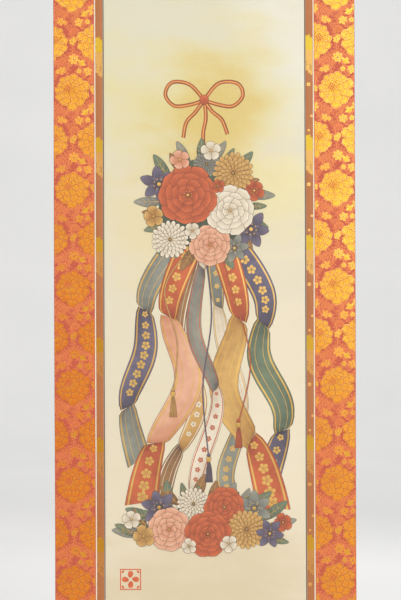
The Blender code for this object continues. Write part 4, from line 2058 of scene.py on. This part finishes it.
@dataclass(frozen=True)
class Studio:
    """The plain pale floor, the soft lights and the camera."""

    view_height: float = 1.0837
    view_middle: tuple[float, float] = (-0.0078, -1.0538)
    camera_distance: float = 3.0
    roll: float = 0.2
    sensor: float = 36.0
    floor_level: float = -2.05
    floor_width: float = 40.0
    floor_front: float = -14.0
    floor_back: float = 12.0
    sweep_height: float = 14.0
    sweep_round: float = 5.0

    def build(self) -> None:
        """Sets up the floor, the lights, the background and the camera."""
        self._add_floor()
        self._add_lights()
        self._add_camera()

    def _add_floor(self) -> None:
        """A floor that sweeps up into a far wall without a corner."""
        mesh = bmesh.new()
        bmesh.ops.create_grid(mesh, x_segments=1, y_segments=1, size=0.5)
        size = Vector((self.floor_width, self.floor_back - self.floor_front, 1.0))
        bmesh.ops.scale(mesh, vec=size, verts=mesh.verts[:])
        middle = Vector((0.0, (self.floor_back + self.floor_front) / 2, self.floor_level))
        bmesh.ops.translate(mesh, vec=middle, verts=mesh.verts[:])
        far = max(mesh.edges, key=lambda edge: sum(v.co.y for v in edge.verts))
        raised = bmesh.ops.extrude_edge_only(mesh, edges=[far])["geom"]
        top = [part for part in raised if isinstance(part, bmesh.types.BMVert)]
        bmesh.ops.translate(mesh, vec=Vector((0.0, 0.0, self.sweep_height)), verts=top)
        round_edges(mesh, [edge for edge in mesh.edges if edge.is_manifold], self.sweep_round, 24)
        data = bpy.data.meshes.new("studio_floor")
        mesh.to_mesh(data)
        mesh.free()
        data.shade_smooth()
        material, nodes, shader, place = new_material("pale_floor")
        mottle = nodes.effect(MOTTLE, place, Size=1.2)
        tint = nodes.blend(mottle.outputs["Patches"], (0.80, 0.80, 0.79), (0.84, 0.835, 0.82))
        nodes.tree.links.new(tint, shader.inputs["Base Color"])
        shader.inputs["Roughness"].default_value = 0.9
        data.materials.append(material)
        floor = bpy.data.objects.new("studio_floor", data)
        bpy.context.scene.collection.objects.link(floor)

    def _add_lights(self) -> None:
        """Soft lights from the right, from above and from the left, one for the wall, and a pale sky."""
        x, z = self.view_middle
        aim = Vector((x, 0.0, z))
        warm, mild = (1.0, 0.97, 0.91), (1.0, 0.98, 0.95)
        self._add_panel("key", Vector((1.25, -3.1, -0.3)), aim, 1.3, 2.2, 38.0, warm)
        self._add_panel("upper", Vector((-0.5, -3.1, 0.45)), aim, 1.3, 1.4, 19.0, warm)
        self._add_panel("fill", Vector((-2.4, -2.0, -0.9)), aim, 1.6, 2.2, 14.0, mild)
        self._add_panel("side", Vector((2.6, -1.8, -0.8)), aim, 1.6, 2.2, 11.0, mild)
        self._add_panel("back", Vector((0.6, 3.2, 0.8)), aim, 2.2, 2.2, 44.0, (1.0, 0.99, 0.97))
        wall = Vector((0.0, self.floor_back, -1.0))
        self._add_panel("wall", Vector((0.0, 4.5, 5.5)), wall, 9.0, 3.0, 400.0, (1.0, 1.0, 1.0))
        world = bpy.data.worlds.new("studio_sky")
        world.use_nodes = True
        sky = world.node_tree.nodes["Background"]
        sky.inputs["Color"].default_value = (0.95, 0.95, 0.97, 1.0)
        sky.inputs["Strength"].default_value = 0.43
        bpy.context.scene.world = world

    @staticmethod
    def _add_panel(
        name: str, place: Vector, aim: Vector, width: float, height: float, power: float, colour: Colour
    ) -> None:
        """Adds a rectangular area light.

        Args:
            name: Its name.
            place: Where it stands.
            aim: The point that it faces.
            width: Its width.
            height: Its height.
            power: Its power in watts.
            colour: Its colour.
        """
        data = bpy.data.lights.new(name, "AREA")
        data.shape = "RECTANGLE"
        data.size = width
        data.size_y = height
        data.energy = power
        data.color = colour
        light = bpy.data.objects.new(name, data)
        light.location = place
        light.rotation_mode = "QUATERNION"
        light.rotation_quaternion = (aim - place).to_track_quat("-Z", "Y")
        bpy.context.scene.collection.objects.link(light)

    def _add_camera(self) -> None:
        """A long lens square to the scroll, framed on its middle."""
        data = bpy.data.cameras.new("camera")
        data.sensor_width = self.sensor
        data.lens = self.sensor * self.camera_distance / self.view_height
        data.clip_start = 0.05
        data.clip_end = 100.0
        camera = bpy.data.objects.new("camera", data)
        x, z = self.view_middle
        camera.location = (x, -self.camera_distance, z)
        turned = Matrix.Rotation(radians(90), 4, "X") @ Matrix.Rotation(radians(-self.roll), 4, "Z")
        camera.rotation_mode = "QUATERNION"
        camera.rotation_quaternion = turned.to_quaternion()
        bpy.context.scene.collection.objects.link(camera)
        bpy.context.scene.camera = camera
        bpy.context.scene.view_settings.view_transform = "Standard"


def brocade_threads() -> list[Material]:
    """The materials of the brocade's figures, in the order of Thread."""
    yellow, peach = linear(196, 240, 92), linear(255, 206, 150)
    gold = {"roughness": 0.29, "metallic": 0.1, "ribbed": 0.8, "relief": 0.000015, "shine": yellow}
    pale_gold = gold | {"shine": linear(226, 244, 140), "shine_index": 4.6}
    silk = {"roughness": 0.42, "sheen": 0.2, "patch": 0.011, "patch_share": 1.0}
    silk |= {"shine": peach, "shine_index": 2.3}
    amber = {"roughness": 0.42, "shine": linear(222, 222, 106), "shine_index": 2.1}
    # Painted shade: the deep colours darken the leaves and the gold petals towards their bases.
    finishes = {
        Thread.LEAF: WovenFinish(
            "orange_silk", linear(228, 104, 60), linear(226, 122, 50), deep=linear(204, 84, 56), **silk
        ),
        Thread.LEAF_EDGE: WovenFinish("peach_silk", linear(234, 120, 78), linear(230, 126, 64), **silk),
        Thread.SHADE: WovenFinish("amber_silk", linear(192, 80, 40), linear(182, 70, 40), **amber),
        Thread.GOLD: WovenFinish(
            "gold_thread", linear(250, 68, 30), linear(244, 62, 30), deep=linear(232, 60, 32), **gold
        ),
        Thread.GOLD_EDGE: WovenFinish(
            "pale_gold_thread", linear(248, 80, 46), linear(244, 74, 40), **pale_gold
        ),
        Thread.BRIGHT: WovenFinish(
            "yellow_gold_thread", linear(242, 120, 34), linear(238, 108, 34), deep=linear(228, 84, 34), **gold
        ),
        Thread.CRIMSON: WovenFinish("crimson_thread", linear(204, 88, 58), linear(190, 76, 58), 0.55),
    }
    return [finishes[thread].build() for thread in Thread]


def strip_threads() -> list[Material]:
    """The materials of the narrow strip's figures, in the order of StripThread."""
    gold = {"roughness": 0.36, "metallic": 0.1, "ribbed": 0.8, "relief": 0.000015}
    lemon = gold | {"shine": linear(206, 236, 84)}
    straw = gold | {"shine": linear(226, 226, 130)}
    finishes = {
        StripThread.LEMON: WovenFinish("lemon_gold", linear(200, 82, 30), linear(192, 72, 28), **lemon),
        StripThread.OLD_GOLD: WovenFinish("old_gold", linear(190, 78, 44), linear(182, 72, 40), **straw),
        StripThread.NOTCH: WovenFinish("brown_silk", linear(160, 104, 62), linear(150, 92, 58), 0.55),
        StripThread.BLOSSOM: WovenFinish("apricot_gold", linear(226, 140, 80), linear(218, 130, 74), **straw),
    }
    return [finishes[thread].build() for thread in StripThread]


def picture_paints() -> list[Material]:
    """The materials of the picture, in the order of Paint."""
    finishes = {
        Paint.INK: PaintFinish("brown_ink", linear(74, 48, 36), linear(96, 64, 44)),
        Paint.VERMILION: PaintFinish("vermilion", linear(146, 52, 34), linear(212, 104, 62)),
        Paint.NAVY: PaintFinish("indigo", linear(42, 42, 66), linear(112, 104, 130)),
        Paint.WHITE: PaintFinish("shell_white", linear(196, 180, 156), linear(240, 230, 210)),
        Paint.PINK: PaintFinish("pale_red", linear(198, 120, 92), linear(236, 184, 154)),
        Paint.OCHRE: PaintFinish("ochre", linear(160, 108, 52), linear(222, 178, 106)),
        Paint.GOLD: PaintFinish("painted_gold", linear(186, 136, 58), linear(234, 192, 106), 0.42, 0.55),
        Paint.TEAL: PaintFinish("malachite", linear(54, 74, 64), linear(116, 134, 110)),
        Paint.SLATE: PaintFinish("slate_blue", linear(82, 88, 90), linear(150, 152, 140)),
        Paint.BROWN: PaintFinish("umber", linear(90, 60, 38), linear(164, 118, 74)),
    }
    return [finishes[paint].build() for paint in Paint]


def scroll_cloths() -> dict[str, Material]:
    """The materials of the cloths by the pieces' names, and of the back."""
    finishes = {
        "back": WovenFinish(
            "backing_paper", linear(214, 205, 186), linear(200, 189, 168), 0.85, relief=0.00003
        ),
        "brocade": WovenFinish(
            "crimson_silk", linear(204, 92, 58), linear(192, 78, 58), 0.55, sheen=0.2, patch=0.02
        ),
        "inner_strip": WovenFinish(
            "copper_silk", linear(184, 114, 64), linear(178, 104, 54), 0.5, metallic=0.1
        ),
        "white_line": WovenFinish("cream_silk", linear(252, 238, 212), linear(248, 226, 190), 0.6),
        "dark_line": WovenFinish("dark_paper", linear(92, 80, 52), linear(78, 66, 42), 0.6),
    }
    return {name: finish.build() for name, finish in finishes.items()}


@dataclass(frozen=True)
class Mount:
    """The brocade, the lines and the strips at one side of the picture."""

    side: Side
    first_peony: Point
    first_bar: float
    brocade_hems: tuple[Side, ...]
    blossoms: tuple[tuple[float, float, float], ...] = (
        (-1.2, -88.0, 3.4), (4.2, -145.0, 2.4), (-1.0, -171.0, 2.3),
    )
    silk_thickness: float = 0.0012
    white_line_thickness: float = 0.0016
    white_line_round: float = 0.0004
    dark_line_thickness: float = 0.0011

    def build(
        self,
        cloths: dict[str, Material],
        figures: dict[str, Materials],
        repeat: BrocadeRepeat,
        drawn: DrawnMesh,
    ) -> None:
        """Builds the pieces of the side.

        Args:
            cloths: The finishes of the cloths by the pieces' names, and of the back.
            figures: The materials of the brocade's and the strip's figures.
            repeat: The brocade's repeat.
            drawn: The repeat's flat mesh.
        """
        back = cloths["back"]
        ending = "_" + self.side.name.lower()
        sheet = ClothSheet("brocade" + ending, "gold_brocade", self.silk_thickness, self.brocade_hems)
        brocade = sheet.build(cloths["brocade"], back)
        peonies = FiguredPanel("brocade" + ending, self.first_peony).build(repeat, drawn, figures["brocade"])
        white_line = ClothSheet(
            "white_line" + ending, "white_line", self.white_line_thickness, cut_round=self.white_line_round
        )
        white = white_line.build(cloths["white_line"], back)
        inner_strip = ClothSheet("inner_strip" + ending, "copper_brocade", self.silk_thickness)
        strip = inner_strip.build(cloths["inner_strip"], back)
        gold_bars = StripFigures("inner_strip" + ending, self.first_bar, blossoms=self.blossoms)
        bars = gold_bars.build(figures["strip"])
        dark_line = ClothSheet("dark_line" + ending, "dark_line", self.dark_line_thickness)
        dark = dark_line.build(cloths["dark_line"], back)
        area = Area.of_node("brocade" + ending)
        turned_across = sum(sheet.side_hem for side in self.brocade_hems if side.value[0])
        turned_along = sum(sheet.end_hem for side in self.brocade_hems if side.value[1])
        area = Area.of_node("inner_strip" + ending)


def main() -> None:
    """Builds the scroll from the outside inwards."""
    logging.basicConfig(level=logging.INFO, format="%(name)s %(message)s")
    Studio().build()
    cloths = scroll_cloths()
    figures = {"brocade": brocade_threads(), "strip": strip_threads()}
    repeat, plainer = BrocadeRepeat(), BrocadeRepeat(detail=0.45)
    drawn = {Side.LEFT: repeat.build(), Side.TOP: plainer.build()}
    drawn |= {Side.RIGHT: drawn[Side.LEFT], Side.BOTTOM: drawn[Side.TOP]}
    mounts = (
        Mount(Side.LEFT, (-0.2382, -0.6767), 109.0, (Side.LEFT,), ()),
        Mount(Side.RIGHT, (0.2393, -0.6740), 106.0, (Side.RIGHT,)),
        Mount(Side.TOP, (-0.2385, -0.062), 60.0, (Side.LEFT, Side.RIGHT, Side.TOP)),
        Mount(Side.BOTTOM, (-0.2385, -1.706), 75.0, (Side.LEFT, Side.RIGHT, Side.BOTTOM)),
    )
    for mount in mounts:
        mount.build(cloths, figures, repeat, drawn[mount.side])
    area = Area.of_node("painting_panel")
    thickness = 0.0010
    painting = ClothSheet("painting_panel", "painted_silk", thickness)
    panel = painting.build(MistFinish().build(), cloths["back"])
    set_back = ClothSheet.full_thickness - thickness
    painted = Picture().build(picture_paints(), area.centre, set_back)
    red = PaintFinish("stamp_red", linear(206, 84, 46), linear(222, 110, 66)).build()
    painted.append(Stamp().build(red, (-0.136, -1.5585), set_back))


if __name__ == "__main__":
    main()
